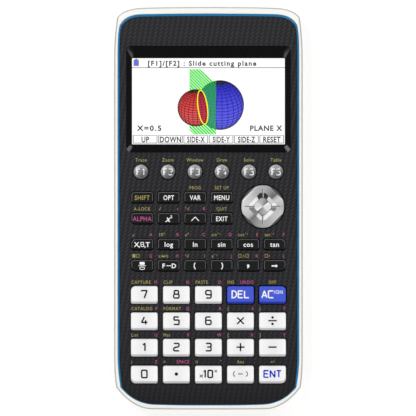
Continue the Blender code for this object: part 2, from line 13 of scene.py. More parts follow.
import bmesh
import bpy
import numpy as np
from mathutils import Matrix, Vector


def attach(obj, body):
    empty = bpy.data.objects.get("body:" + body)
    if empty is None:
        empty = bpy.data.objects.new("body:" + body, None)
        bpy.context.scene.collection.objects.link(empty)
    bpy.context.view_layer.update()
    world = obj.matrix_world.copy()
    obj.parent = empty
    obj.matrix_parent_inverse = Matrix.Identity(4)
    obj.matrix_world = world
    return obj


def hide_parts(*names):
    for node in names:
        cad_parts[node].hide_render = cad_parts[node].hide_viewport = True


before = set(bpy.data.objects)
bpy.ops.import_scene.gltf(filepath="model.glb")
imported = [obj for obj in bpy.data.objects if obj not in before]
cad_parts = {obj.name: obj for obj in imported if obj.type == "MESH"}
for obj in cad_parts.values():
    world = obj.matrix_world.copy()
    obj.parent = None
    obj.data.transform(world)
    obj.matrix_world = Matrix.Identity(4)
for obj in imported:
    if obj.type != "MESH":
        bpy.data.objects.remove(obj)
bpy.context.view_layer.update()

MM = 0.001
Place = tuple[float, float]
Outline = list[Place]
Level = tuple[Outline, float]
Colour = tuple[float, float, float]
Socket = bpy.types.NodeSocket
log = logging.getLogger("calculator")


# Modelling bench: selections, lofts by extrusion, cuts and lettering.


def take(*objects: bpy.types.Object) -> None:
    """Selects only these objects, with the first of them active."""
    bpy.ops.object.select_all(action="DESELECT")
    for obj in objects:
        obj.select_set(True)
    bpy.context.view_layer.objects.active = objects[0]


def circle(radius: float, sides: int = 64, centre: Place = (0.0, 0.0)) -> Outline:
    """An anticlockwise circle."""
    turns = [2 * math.pi * i / sides for i in range(sides)]
    return [(centre[0] + radius * math.cos(a), centre[1] + radius * math.sin(a)) for a in turns]


@dataclass(frozen=True)
class RoundedBox:
    """A rectangle with round corners, one of which may be rounder than the rest."""

    centre: Place
    half: Place
    radius: float
    odd_corner: tuple[int, int] | None = None
    odd_radius: float = 0.0
    steps: int = 6

    def outline(self, growth: float = 0.0, shift: tuple[float, float] = (0.0, 0.0)) -> Outline:
        """The outline, grown on every side and shifted.

        Args:
            growth: how far every side moves out.
            shift: how far the outline moves along X and Y.

        Returns:
            Its points, anticlockwise.
        """
        points = []
        for sign_x, sign_y, first in ((1, -1, -90), (1, 1, 0), (-1, 1, 90), (-1, -1, 180)):
            odd = (sign_x, sign_y) == self.odd_corner
            r = max((self.odd_radius if odd else self.radius) + growth, 0.05)
            x = self.centre[0] + shift[0] + sign_x * (self.half[0] + growth - r)
            y = self.centre[1] + shift[1] + sign_y * (self.half[1] + growth - r)
            for step in range(self.steps + 1):
                a = math.radians(first + 90 * step / self.steps)
                points.append((x + r * math.cos(a), y + r * math.sin(a)))
        return points


def inset(outline: Outline, amount: float | Callable[[float], float]) -> Outline:
    """Moves each side of an anticlockwise outline in.

    Args:
        outline: the outline.
        amount: how far, or a function that gives it for a height y.

    Returns:
        The smaller outline, with the same number of points.
    """
    moved = []
    for i, point in enumerate(outline):
        here = Vector(point)
        before = (here - Vector(outline[i - 1])).normalized()
        after = (Vector(outline[(i + 1) % len(outline)]) - here).normalized()
        inward = Vector((-before.y - after.y, before.x + after.x)).normalized()
        width = amount(point[1]) if callable(amount) else amount
        reach = width / inward.dot(Vector((-before.y, before.x)))
        moved.append((here.x + inward.x * reach, here.y + inward.y * reach))
    return moved


def loft(name: str, levels: Iterable[Level], along: str = "Z") -> bpy.types.Object:
    """Extrudes a filled outline from level to level, up the outside and back down any hollow.

    Args:
        name: the piece's name.
        levels: outlines with equal numbers of points, and the height of each.
        along: the axis that the heights run along, Z, Y or X. The outlines lie across it.

    Returns:
        The closed solid.
    """
    levels = list(levels)
    outline, height = levels[0]
    bpy.ops.object.select_all(action="DESELECT")
    bpy.ops.mesh.primitive_circle_add(vertices=len(outline), radius=MM, fill_type="NGON")
    obj = bpy.context.object
    obj.name = obj.data.name = name
    for vertex, (x, y) in zip(obj.data.vertices, outline, strict=True):
        vertex.co = (x * MM, y * MM, height * MM)
    bpy.ops.object.mode_set(mode="EDIT")
    bpy.ops.mesh.select_all(action="SELECT")
    for next_outline, next_height in levels[1:]:
        rise = (next_height - height) * MM
        bpy.ops.mesh.extrude_region_move(TRANSFORM_OT_translate={"value": (0, 0, rise)})
        mesh = bmesh.from_edit_mesh(obj.data)
        old, new = np.array(outline) * MM, np.array(next_outline) * MM
        for vertex in (v for v in mesh.verts if v.select):
            nearest = int(np.argmin(((old - (vertex.co.x, vertex.co.y)) ** 2).sum(axis=1)))
            vertex.co = (*new[nearest], next_height * MM)
        bmesh.update_edit_mesh(obj.data)
        outline, height = next_outline, next_height
    bpy.ops.mesh.select_all(action="SELECT")
    bpy.ops.mesh.normals_make_consistent(inside=False)
    bpy.ops.object.mode_set(mode="OBJECT")
    turn_mesh(obj, along)
    return obj


def turn_mesh(obj: bpy.types.Object, along: str) -> None:
    """Turns a mesh built along Z so that it runs along X or Y instead."""
    if along == "Z":
        return
    for vertex in obj.data.vertices:
        x, y, z = vertex.co
        vertex.co = (x, z, y) if along == "Y" else (z, x, y)
    if along == "Y":
        obj.data.flip_normals()


def block(name: str, low: tuple[float, ...], high: tuple[float, ...], edge: float = 0.0) -> bpy.types.Object:
    """A box between two corners, its edges softened by a small bevel.

    Args:
        name: the piece's name.
        low: its lowest corner.
        high: its highest corner.
        edge: the bevel's width, or 0 for none.

    Returns:
        The solid.
    """
    corners = [(low[0], low[1]), (high[0], low[1]), (high[0], high[1]), (low[0], high[1])]
    obj = loft(name, [(corners, low[2]), (corners, high[2])])
    if edge:
        bpy.ops.object.mode_set(mode="EDIT")
        bpy.ops.mesh.select_all(action="SELECT")
        bpy.ops.mesh.bevel(offset=edge * MM, segments=2, affect="EDGES")
        bpy.ops.object.mode_set(mode="OBJECT")
    return obj


def drum(
    name: str,
    centre: Place,
    radius: float,
    span: Place,
    edge: float = 0.0,
    sides: int = 40,
    along: str = "Z",
) -> bpy.types.Object:
    """A round bar with softened ends.

    Args:
        name: the piece's name.
        centre: its centre across its axis.
        radius: its radius.
        span: where it starts and ends along its axis.
        edge: how far the ends are rounded.
        sides: how many sides it is drawn with.
        along: its axis.

    Returns:
        The solid.
    """
    levels = [(circle(radius - edge, sides, centre), span[0])] if edge else []
    levels += [(circle(radius, sides, centre), span[0] + edge), (circle(radius, sides, centre), span[1] - edge)]
    if edge:
        levels.append((circle(radius - edge * 0.3, sides, centre), span[1] - edge * 0.3))
        levels.append((circle(radius - edge, sides, centre), span[1]))
    return loft(name, levels, along)


def bent_bars(name: str, paths: Iterable, width: float, rounding: int, caps: bool = True) -> bpy.types.Object:
    """Round bars bent along paths, as one mesh.

    Args:
        name: the piece's name.
        paths: the spots along the middle of each bar.
        width: how thick the bars are.
        rounding: how finely they are rounded.
        caps: whether their ends are closed.

    Returns:
        The mesh, without a material.
    """
    data = bpy.data.curves.new(name, "CURVE")
    data.dimensions, data.bevel_depth, data.bevel_resolution = "3D", width / 2 * MM, rounding
    data.use_fill_caps = caps
    for path in paths:
        spline = data.splines.new("POLY")
        spline.points.add(len(path) - 1)
        for point, spot in zip(spline.points, path, strict=True):
            point.co = (*(c * MM for c in spot), 1.0)
    obj = bpy.data.objects.new(name, data)
    bpy.context.collection.objects.link(obj)
    take(obj)
    bpy.ops.object.convert(target="MESH")
    obj.data.name = name
    return obj


def join(name: str, objects: list[bpy.types.Object]) -> bpy.types.Object:
    """Joins objects into the first of them, under a new name."""
    if len(objects) > 1:
        take(*objects)
        bpy.ops.object.join()
    objects[0].name = objects[0].data.name = name
    return objects[0]


def carve(obj: bpy.types.Object, tools: list[bpy.types.Object], operation: str = "DIFFERENCE") -> None:
    """Cuts the tools from a solid, or unites them with it, and removes them.

    Args:
        obj: the solid.
        tools: closed solids that don't meet each other.
        operation: the Boolean modifier's operation.
    """
    tool = join("tool", tools)
    modifier = obj.modifiers.new("carve", "BOOLEAN")
    modifier.operation, modifier.object, modifier.solver = operation, tool, "EXACT"
    take(obj)
    bpy.ops.object.modifier_apply(modifier=modifier.name)
    bpy.data.objects.remove(tool, do_unlink=True)


def smooth(obj: bpy.types.Object, degrees: float = 35.0) -> bpy.types.Object:
    """Shades a solid smooth where its faces meet at less than an angle."""
    take(obj)
    bpy.ops.object.shade_smooth_by_angle(angle=math.radians(degrees))
    return obj


def dress(obj: bpy.types.Object, material: bpy.types.Material) -> bpy.types.Object:
    """Gives an object one material."""
    obj.data.materials.clear()
    obj.data.materials.append(material)
    return obj


def ride(obj: bpy.types.Object, body: str, replaces: str = "") -> None:
    """Fastens a finished piece to its body, and reports it.

    Args:
        obj: the piece.
        body: the body that it moves with.
        replaces: the CAD node that it stands for.
    """
    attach(obj, body)
    if replaces:
        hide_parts(replaces)
    log.info("%s rides on %s", obj.name, body)


class Align(Enum):
    """Where a line of lettering sits about its place."""

    LEFT = "LEFT"
    CENTRE = "CENTER"
    RIGHT = "RIGHT"


CAP_SHARE = 0.729  # height of a capital letter in the built-in font, as a share of its size


@dataclass(frozen=True)
class Lettering:
    """A line of printed text in the built-in font."""

    text: str
    place: Place
    height: float
    bold: float = 0.0
    align: Align = Align.CENTRE
    stretch: float = 1.0
    slant: float = 0.0
    spacing: float = 1.0

    def make(self, top: float, thickness: float = 0.06) -> bpy.types.Object:
        """Prints the line as a thin mesh.

        Args:
            top: the height of its upper side.
            thickness: how far it goes down from there.

        Returns:
            The mesh, without a material.
        """
        bpy.ops.object.select_all(action="DESELECT")
        bpy.ops.object.text_add()
        obj = bpy.context.object
        data = obj.data
        data.body, data.align_x = self.text, self.align.value
        data.size, data.extrude, data.offset = 1.0, 0.05, self.bold
        data.shear, data.resolution_u, data.space_character = self.slant, 3, self.spacing
        take(obj)
        bpy.ops.object.convert(target="MESH")
        scale = self.height / CAP_SHARE * MM
        for vertex in obj.data.vertices:
            x, y, z = vertex.co
            vertex.co.x = self.place[0] * MM + x * scale * self.stretch
            vertex.co.y = self.place[1] * MM + y * scale - self.height / 2 * MM
            vertex.co.z = (top - (0.0 if z > 0 else thickness)) * MM
        return obj


# A squarish technical alphabet: each glyph is strokes on a unit square, softened at their corners.
GLYPHS: dict[str, list[list[tuple[float, float]]]] = {
    "0": [[(0.5, 0), (1, 0), (1, 1), (0, 1), (0, 0), (0.5, 0)]],
    "1": [[(0.22, 0.8), (0.62, 1), (0.62, 0)]],
    "2": [[(0.02, 1), (1, 1), (1, 0.56), (0, 0.4), (0, 0), (1, 0)]],
    "3": [[(0.05, 1), (1, 1), (1, 0.52), (0.3, 0.52)], [(0.5, 0.52), (1, 0.52), (1, 0), (0, 0)]],
    "4": [[(0.5, 1), (0, 0.28), (1.1, 0.28)], [(0.76, 0.56), (0.76, 0)]],
    "5": [[(0.95, 1), (0.06, 1), (0.06, 0.58), (1, 0.58), (1, 0), (0, 0)]],
    "6": [[(0.9, 1), (0, 1), (0, 0), (1, 0), (1, 0.56), (0, 0.56)]],
    "7": [[(0, 0.86), (0, 1), (1, 1), (0.5, 0)]],
    "8": [[(0.5, 0.52), (0.1, 0.52), (0.1, 1), (0.9, 1), (0.9, 0.52), (0.5, 0.52)],
          [(0.5, 0.52), (1, 0.52), (1, 0), (0, 0), (0, 0.52), (0.5, 0.52)]],
    "9": [[(1, 0.44), (0, 0.44), (0, 1), (1, 1), (1, 0), (0.1, 0)]],
    "A": [[(0, 0), (0.5, 1), (1, 0)], [(0.2, 0.3), (0.8, 0.3)]],
    "C": [[(1, 1), (0, 1), (0, 0), (1, 0)]],
    "D": [[(0.04, 0), (0.04, 1)], [(-0.12, 1), (0.6, 1), (1, 0.74), (1, 0.26), (0.6, 0), (-0.12, 0)]],
    "E": [[(1, 1), (0, 1), (0, 0), (1, 0)], [(0, 0.52), (0.85, 0.52)]],
    "F": [[(1, 1), (0, 1), (0, 0)], [(0, 0.52), (0.85, 0.52)]],
    "L": [[(0, 1), (0, 0), (1, 0)]],
    "N": [[(0, 0), (0, 1), (1, 0), (1, 1)]],
    "T": [[(0, 1), (1, 1)], [(0.5, 1), (0.5, 0)]],
    "x": [[(0, 0), (1, 1)], [(0, 1), (1, 0)]],
    "+": [[(0, 0.5), (1, 0.5)], [(0.5, 0), (0.5, 1)]],
    "-": [[(0, 0.5), (1, 0.5)]],
    "^": [[(0, 0), (0.5, 0.8), (1, 0)]],
    "(": [[(0.6, 1), (0.1, 0.7), (0.1, 0.3), (0.6, 0)]],
    ")": [[(0.4, 1), (0.9, 0.7), (0.9, 0.3), (0.4, 0)]],
}
CRISP_GLYPHS = "1457AEFLNT^"  # these keep nearly sharp corners
CRISP_SHARE, ROUND_SHARE = 0.1, 0.26  # where a corner's rounding starts, as a share of the glyph's size


def soften(points: list[Vector], radius: float, steps: int = 4) -> list[Vector]:
    """Rounds the inner corners of a path.

    Args:
        points: the path.
        radius: how far from each corner the rounding starts.
        steps: how many straight pieces each rounding has.

    Returns:
        The rounded path.
    """
    path = [points[0]]
    for before, corner, after in zip(points, points[1:], points[2:], strict=False):
        a = corner + (before - corner).normalized() * min(radius, (before - corner).length / 2)
        b = corner + (after - corner).normalized() * min(radius, (after - corner).length / 2)
        for step in range(steps + 1):
            t = step / steps
            path.append((1 - t) ** 2 * a + 2 * t * (1 - t) * corner + t * t * b)
    return [*path, points[-1]]


@dataclass(frozen=True)
class Stroke:
    """One glyph of the technical alphabet, drawn as flattened round bars."""

    glyph: str
    place: Place
    size: Place
    width: float

    def make(self, top: float, thickness: float = 0.06) -> bpy.types.Object:
        """Draws the glyph as a thin mesh.

        Args:
            top: the height of its upper side.
            thickness: how far it goes down from there.

        Returns:
            The mesh, without a material.
        """
        share = CRISP_SHARE if self.glyph in CRISP_GLYPHS else ROUND_SHARE
        paths = []
        for stroke in GLYPHS[self.glyph]:
            corners = [Vector(((x - 0.5) * self.size[0], (y - 0.5) * self.size[1], 0.0)) for x, y in stroke]
            path = soften(corners, min(self.size) * share)
            paths.append([(x + self.place[0], y + self.place[1], 0.0) for x, y, _ in path])
        obj = bent_bars(self.glyph, paths, self.width, 2)
        flat = thickness / self.width
        for vertex in obj.data.vertices:
            vertex.co.z = vertex.co.z * flat + (top - thickness / 2) * MM
        return obj


def spell(text: str, centre: Place, size: Place, width: float, gap: float) -> list[Stroke]:
    """A word in the technical alphabet, centred on a place.

    Args:
        text: its glyphs.
        centre: the word's centre.
        size: each glyph's width and height.
        width: the strokes' width.
        gap: the space between glyphs.

    Returns:
        The glyphs, left to right.
    """
    pitch = size[0] + gap
    first = centre[0] - pitch * (len(text) - 1) / 2
    return [Stroke(glyph, (first + i * pitch, centre[1]), size, width) for i, glyph in enumerate(text)]


# Finishes: shared node groups first, then each finish as a small class.


def rgb(red: int, green: int, blue: int) -> Colour:
    """A linear colour from its display values, 0 to 255."""
    shares = (red / 255, green / 255, blue / 255)
    linear = [c / 12.92 if c <= 0.04045 else ((c + 0.055) / 1.055) ** 2.4 for c in shares]
    return linear[0], linear[1], linear[2]


class Graph:
    """A shader node tree being wired up."""

    def __init__(self, tree: bpy.types.NodeTree) -> None:
        """Starts on a tree."""
        self.tree = tree

    def add(self, kind: str, inputs: dict | None = None, **settings: object) -> bpy.types.Node:
        """Adds a node.

        Args:
            kind: the node's type.
            inputs: a value or another node's output for each named or numbered input.
            settings: the node's own properties.

        Returns:
            The node.
        """
        node = self.tree.nodes.new(kind)
        for key, value in settings.items():
            setattr(node, key, value)
        for key, value in (inputs or {}).items():
            if isinstance(value, Socket):
                self.tree.links.new(value, node.inputs[key])
            else:
                node.inputs[key].default_value = value
        return node

    def math(self, operation: str, *values: object, clamp: bool = False) -> Socket:
        """The output of a math node on these values."""
        node = self.add("ShaderNodeMath", dict(enumerate(values)), operation=operation, use_clamp=clamp)
        return node.outputs[0]

    def mix(self, factor: object, first: object, second: object) -> Socket:
        """A blend of two colours, each of them an output or linear values."""
        pair = [(*c, 1.0) if isinstance(c, tuple) else c for c in (first, second)]
        node = self.add("ShaderNodeMix", {0: factor, 6: pair[0], 7: pair[1]}, data_type="RGBA")
        return node.outputs[2]

    def place(self) -> tuple[Socket, Socket, Socket]:
        """The piece's own X, Y and Z, in millimetres."""
        own = self.add("ShaderNodeTexCoord").outputs["Object"]
        scaled = self.add("ShaderNodeVectorMath", {0: own, "Scale": 1 / MM}, operation="SCALE")
        parts = self.add("ShaderNodeSeparateXYZ", {0: scaled.outputs[0]}).outputs
        return parts[0], parts[1], parts[2]


def group(name: str, inputs: dict[str, object], outputs: dict[str, str]) -> tuple[Graph, dict, bpy.types.Node]:
    """Starts a shader node group.

    Args:
        name: its name.
        inputs: its inputs, each with a default number or linear colour.
        outputs: its outputs, each Float or Color.

    Returns:
        Its graph, its input sockets by name, and its output node.
    """
    tree = bpy.data.node_groups.new(name, "ShaderNodeTree")
    for label, default in inputs.items():
        kind = "NodeSocketColor" if isinstance(default, tuple) else "NodeSocketFloat"
        socket = tree.interface.new_socket(name=label, in_out="INPUT", socket_type=kind)
        socket.default_value = (*default, 1.0) if isinstance(default, tuple) else default
    for label, kind in outputs.items():
        tree.interface.new_socket(name=label, in_out="OUTPUT", socket_type=f"NodeSocket{kind}")
    graph = Graph(tree)
    source = graph.add("NodeGroupInput")
    return graph, {label: source.outputs[label] for label in inputs}, graph.add("NodeGroupOutput")


def moulded_grain() -> bpy.types.NodeTree:
    """Fine spark-eroded grain with a slow drift of tone, for moulded plastic and rubber."""
    inputs = {"Colour": (0.8, 0.8, 0.8), "Roughness": 0.4, "Grain per mm": 3.0, "Drift": 0.05}
    outputs = {"Colour": "Color", "Roughness": "Float", "Height": "Float"}
    graph, given, out = group("moulded grain", inputs, outputs)
    own = graph.add("ShaderNodeTexCoord").outputs["Object"]
    scale = graph.math("MULTIPLY", given["Grain per mm"], 1 / MM)
    fine = graph.add("ShaderNodeTexNoise", {"Vector": own, "Scale": scale, "Detail": 2.0}).outputs[0]
    slow = graph.add("ShaderNodeTexNoise", {"Vector": own, "Scale": 90.0, "Detail": 3.0}).outputs[0]
    tone = graph.math("MULTIPLY", graph.math("ADD", graph.math("MULTIPLY", fine, 0.5), slow), given["Drift"])
    shade = graph.mix(graph.math("MULTIPLY", tone, 1.6, clamp=True), given["Colour"], (0.0, 0.0, 0.0))
    uneven = graph.math("MULTIPLY", graph.math("SUBTRACT", fine, 0.5), 0.12)
    rough = graph.math("ADD", given["Roughness"], uneven)
    for label, socket in (("Colour", shade), ("Roughness", rough), ("Height", fine)):
        graph.tree.links.new(socket, out.inputs[label])
    return graph.tree


def slanted_weave() -> bpy.types.NodeTree:
    """Rows of slanted dashes, each row half a step along from the next, moulded all over the front plate."""
    graph, given, out = group("slanted weave", {"Pitch": 2.4, "Slope": 0.8}, {"Mask": "Float"})
    x, y, _ = graph.place()
    turn = graph.math("DIVIDE", math.tau, given["Pitch"])
    slid = graph.math("SUBTRACT", x, graph.math("MULTIPLY", y, given["Slope"]))
    across = graph.math("SINE", graph.math("MULTIPLY", slid, turn))
    along = graph.math("SINE", graph.math("MULTIPLY", graph.math("MULTIPLY", y, turn), 0.62))
    wave = graph.math("MULTIPLY", across, along)
    ridge = graph.add("ShaderNodeMapRange", {"Value": wave, "From Min": -0.1, "From Max": 0.75})
    graph.tree.links.new(ridge.outputs[0], out.inputs["Mask"])
    return graph.tree


def height_band() -> bpy.types.NodeTree:
    """Where a piece lies between two heights, fading over a soft edge: the mask of a band of painted shade or
    painted highlight. Its front side may be left out.
    """
    inputs = {"Low": 0.0, "High": 1.0, "Soft": 0.2, "Spare front": 0.0}
    graph, given, out = group("height band", inputs, {"Mask": "Float"})
    _, _, z = graph.place()
    rise = graph.math("DIVIDE", graph.math("SUBTRACT", z, given["Low"]), given["Soft"], clamp=True)
    fall = graph.math("DIVIDE", graph.math("SUBTRACT", given["High"], z), given["Soft"], clamp=True)
    normal = graph.add("ShaderNodeTexCoord").outputs["Normal"]
    facing = graph.add("ShaderNodeSeparateXYZ", {0: normal}).outputs[1]
    front = graph.math("MULTIPLY_ADD", facing, -6.0, -1.0, clamp=True)
    kept = graph.math("SUBTRACT", 1.0, graph.math("MULTIPLY", front, given["Spare front"]))
    band = graph.math("MULTIPLY", graph.math("MULTIPLY", rise, fall), kept)
    graph.tree.links.new(band, out.inputs["Mask"])
    return graph.tree


def turned_brush() -> bpy.types.NodeTree:
    """Fine rings turned about a centre, and how far round it each spot is."""
    outputs = {"Turn": "Float", "Ring": "Float"}
    graph, given, out = group("turned brush", {"Centre X": 0.0, "Centre Y": 0.0}, outputs)
    x, y, z = graph.place()
    x = graph.math("SUBTRACT", x, given["Centre X"])
    y = graph.math("SUBTRACT", y, given["Centre Y"])
    squares = graph.math("ADD", graph.math("MULTIPLY", x, x), graph.math("MULTIPLY", y, y))
    radius = graph.math("SQRT", squares)
    turns = graph.math("DIVIDE", graph.math("ARCTAN2", y, x), math.tau)
    turn = graph.math("FRACT", graph.math("ADD", turns, 1.0))
    spot = graph.add("ShaderNodeCombineXYZ", {0: radius, 1: turn, 2: z})
    ring = graph.add("ShaderNodeTexNoise", {"Vector": spot.outputs[0], "Scale": 9.0, "Detail": 2.0}).outputs[0]
    graph.tree.links.new(turn, out.inputs["Turn"])
    graph.tree.links.new(ring, out.inputs["Ring"])
    return graph.tree


GROUPS = {"grain": moulded_grain(), "weave": slanted_weave(), "brush": turned_brush(), "band": height_band()}


@dataclass(frozen=True)
class PaintedLightBand:
    """A range of heights in which a finish takes another colour: painted shade or a painted highlight."""

    low: float
    high: float
    soft: float
    colour: Colour
    share: float
    spare_front: float = 0.0


@dataclass(frozen=True)
class Moulded:
    """Moulded plastic, rubber or lacquer with a fine grain, and at times a band of painted shade or painted
    highlight.
    """

    name: str
    colour: Colour
    roughness: float = 0.4
    grain: float = 3.0
    depth: float = 0.02
    drift: float = 0.06
    specular: float = 0.5
    metallic: float = 0.0
    coat: float = 0.0
    band: PaintedLightBand | None = None

    def make(self) -> bpy.types.Material:
        """The material, made once."""
        if self.name in bpy.data.materials:
            return bpy.data.materials[self.name]
        material = bpy.data.materials.new(self.name)
        material.use_nodes = True
        self.wire(Graph(material.node_tree), material.node_tree.nodes["Principled BSDF"])
        return material

    def wire(self, graph: Graph, shader: bpy.types.Node) -> None:
        """Feeds the shader from the grain."""
        values = {"Colour": (*self.colour, 1.0), "Roughness": self.roughness, "Drift": self.drift}
        values["Grain per mm"] = self.grain
        grain = graph.add("ShaderNodeGroup", node_tree=GROUPS["grain"])
        for label, value in values.items():
            grain.inputs[label].default_value = value
        shader.inputs["Metallic"].default_value = self.metallic
        shader.inputs["Specular IOR Level"].default_value = self.specular
        shader.inputs["Coat Weight"].default_value = self.coat
        shader.inputs["Coat Roughness"].default_value = 0.08
        colour, height = self.pattern(graph, grain.outputs["Colour"], grain.outputs["Height"])
        # A band paints shade or a highlight into the colour over its range of heights.
        if self.band:
            band = self.band
            values = {"Low": band.low, "High": band.high, "Soft": band.soft, "Spare front": band.spare_front}
            mask = graph.add("ShaderNodeGroup", node_tree=GROUPS["band"])
            for label, value in values.items():
                mask.inputs[label].default_value = value
            colour = graph.mix(graph.math("MULTIPLY", mask.outputs[0], band.share), colour, band.colour)
        bump = {"Height": height, "Strength": 0.6, "Distance": self.depth * MM}
        normal = graph.add("ShaderNodeBump", bump).outputs[0]
        ends = (("Base Color", colour), ("Roughness", grain.outputs["Roughness"]), ("Normal", normal))
        for label, socket in ends:
            graph.tree.links.new(socket, shader.inputs[label])

    def pattern(self, graph: Graph, colour: Socket, height: Socket) -> tuple:
        """What the finish lays over its grain: here, nothing."""
        return colour, height


@dataclass(frozen=True)
class WovenPlate(Moulded):
    """The front plate's black plastic, with slanted dashes over its grain and painted shade towards its lower
    edge.
    """

    pitch: float = 2.4
    relief: float = 1.5
    lift: Colour = (0.062, 0.062, 0.068)
    painted_shade_span: tuple[float, float] = (-94.0, -50.0)

    def pattern(self, graph: Graph, colour: Socket, height: Socket) -> tuple:
        """Lays the dashes over the colour and the height, and paints shade towards the lower edge."""
        weave = graph.add("ShaderNodeGroup", {"Pitch": self.pitch}, node_tree=GROUPS["weave"])
        mask = weave.outputs["Mask"]
        raised = graph.math("MULTIPLY_ADD", mask, self.relief, height)
        woven = graph.mix(graph.math("MULTIPLY", mask, 0.34), colour, self.lift)
        # Painted shade: the plate darkens towards its lower edge.
        _, y, _ = graph.place()
        low, high = self.painted_shade_span
        share = graph.math("DIVIDE", graph.math("SUBTRACT", high, y), high - low, clamp=True)
        return graph.mix(graph.math("MULTIPLY", share, 0.6), woven, (0.0, 0.0, 0.0)), raised


@dataclass(frozen=True)
class NumberKeyWhite(Moulded):
    """White key plastic with painted shade down the middle of each cap, for the shading of a dished top."""

    pitch: float = 15.05
    shade: Colour = (0.66, 0.66, 0.67)
    amount: float = 0.35

    def pattern(self, graph: Graph, colour: Socket, height: Socket) -> tuple:
        """Paints shade down the middle of each column of caps."""
        x, _, _ = graph.place()
        wave = graph.math("COSINE", graph.math("MULTIPLY", x, math.tau / self.pitch))
        share = graph.math("MULTIPLY", graph.math("MULTIPLY_ADD", wave, 0.5, 0.5), self.amount)
        return graph.mix(share, colour, self.shade), height


@dataclass(frozen=True)
class TurnedMetal(Moulded):
    """Metal turned about a centre, with painted reflections: bright and dark sectors of tone round it. Each tone
    is an angle and a display value.
    """

    centre: Place = (0.0, 0.0)
    tones: tuple[tuple[float, int], ...] = ((0.0, 200), (360.0, 200))

    def pattern(self, graph: Graph, colour: Socket, height: Socket) -> tuple:
        """Lays the painted reflection tones and the turned rings over the metal."""
        values = {"Centre X": self.centre[0], "Centre Y": self.centre[1]}
        brush = graph.add("ShaderNodeGroup", values, node_tree=GROUPS["brush"])
        ramp_node = graph.add("ShaderNodeValToRGB", {0: brush.outputs["Turn"]})
        stops = ramp_node.color_ramp.elements
        while len(stops) < len(self.tones):
            stops.new(0.5)
        for stop, (angle, tone) in zip(stops, self.tones, strict=True):
            stop.position = angle / 360
            stop.color = (*rgb(tone, tone, tone), 1.0)
        streak = graph.math("MULTIPLY", brush.outputs["Ring"], 0.12)
        shade = graph.mix(streak, ramp_node.outputs[0], colour)
        return shade, graph.math("ADD", height, brush.outputs["Ring"])


@dataclass(frozen=True)
class ButtonMetal(Moulded):
    """Satin metal of a row of round buttons, each with a painted highlight at its upper left and painted shade
    at its lower right.
    """

    pitch: float = 12.68
    row: float = 17.0
    radius: float = 3.5
    light: Colour = (0.5, 0.5, 0.5)

    def pattern(self, graph: Graph, colour: Socket, height: Socket) -> tuple:
        """Paints a highlight and shade across each button."""
        x, y, _ = graph.place()
        column = graph.math("FRACT", graph.math("DIVIDE", graph.math("ADD", x, self.pitch * 10), self.pitch))
        across = graph.math("MULTIPLY", graph.math("SUBTRACT", column, 0.5), self.pitch)
        up = graph.math("SUBTRACT", y, self.row)
        slope = graph.math("SUBTRACT", up, graph.math("MULTIPLY", across, 0.6))
        share = graph.math("MULTIPLY_ADD", slope, 0.5 / self.radius, 0.4, clamp=True)
        return graph.mix(share, colour, self.light), height


@dataclass(frozen=True)
class Lit:
    """A patch of the display's picture, which shines by itself.

    Its colour runs to the top colour over a span of Y. A hatch leaves faint slanted gaps this far apart.
    """

    name: str
    colour: Colour
    top: Colour | None = None
    span: tuple[float, float] = (0.0, 1.0)
    hatch: float = 0.0

    def make(self) -> bpy.types.Material:
        """The material, made once."""
        if self.name in bpy.data.materials:
            return bpy.data.materials[self.name]
        material = bpy.data.materials.new(self.name)
        material.use_nodes = True
        graph, shader = Graph(material.node_tree), material.node_tree.nodes["Principled BSDF"]
        shader.inputs["Base Color"].default_value = (0.002, 0.002, 0.002, 1.0)
        shader.inputs["Roughness"].default_value = 0.3
        shader.inputs["Emission Strength"].default_value = 1.12
        x, y, _ = graph.place()
        low, high = self.span
        share = graph.math("DIVIDE", graph.math("SUBTRACT", y, low), high - low, clamp=True)
        specks = graph.add("ShaderNodeTexNoise", {"Scale": 4.0 / MM, "Detail": 0.0}).outputs[0]
        glow = graph.mix(graph.math("MULTIPLY", specks, 0.04), self.colour, (0.0, 0.0, 0.0))
        glow = graph.mix(share, glow, self.top or self.colour)
        graph.tree.links.new(glow, shader.inputs["Emission Color"])
        if self.hatch:
            step = graph.math("FRACT", graph.math("DIVIDE", graph.math("ADD", x, y), self.hatch))
            veil = graph.math("MULTIPLY_ADD", graph.math("GREATER_THAN", step, 0.3), 0.96, 0.04)
            graph.tree.links.new(veil, shader.inputs["Alpha"])
        return material


@dataclass(frozen=True)
class ClearPane:
    """A clear hard-coated window."""

    name: str
    alpha: float = 0.035

    def make(self) -> bpy.types.Material:
        """The material, with a faint smear in its gloss."""
        material = bpy.data.materials.new(self.name)
        material.use_nodes = True
        graph, shader = Graph(material.node_tree), material.node_tree.nodes["Principled BSDF"]
        shader.inputs["Base Color"].default_value = (0.02, 0.02, 0.025, 1.0)
        shader.inputs["Alpha"].default_value = self.alpha
        shader.inputs["Specular IOR Level"].default_value = 0.3
        smear = graph.add("ShaderNodeTexNoise", {"Scale": 60.0, "Detail": 3.0}).outputs[0]
        rough = graph.math("MULTIPLY_ADD", smear, 0.05, 0.02)
        graph.tree.links.new(rough, shader.inputs["Roughness"])
        return material


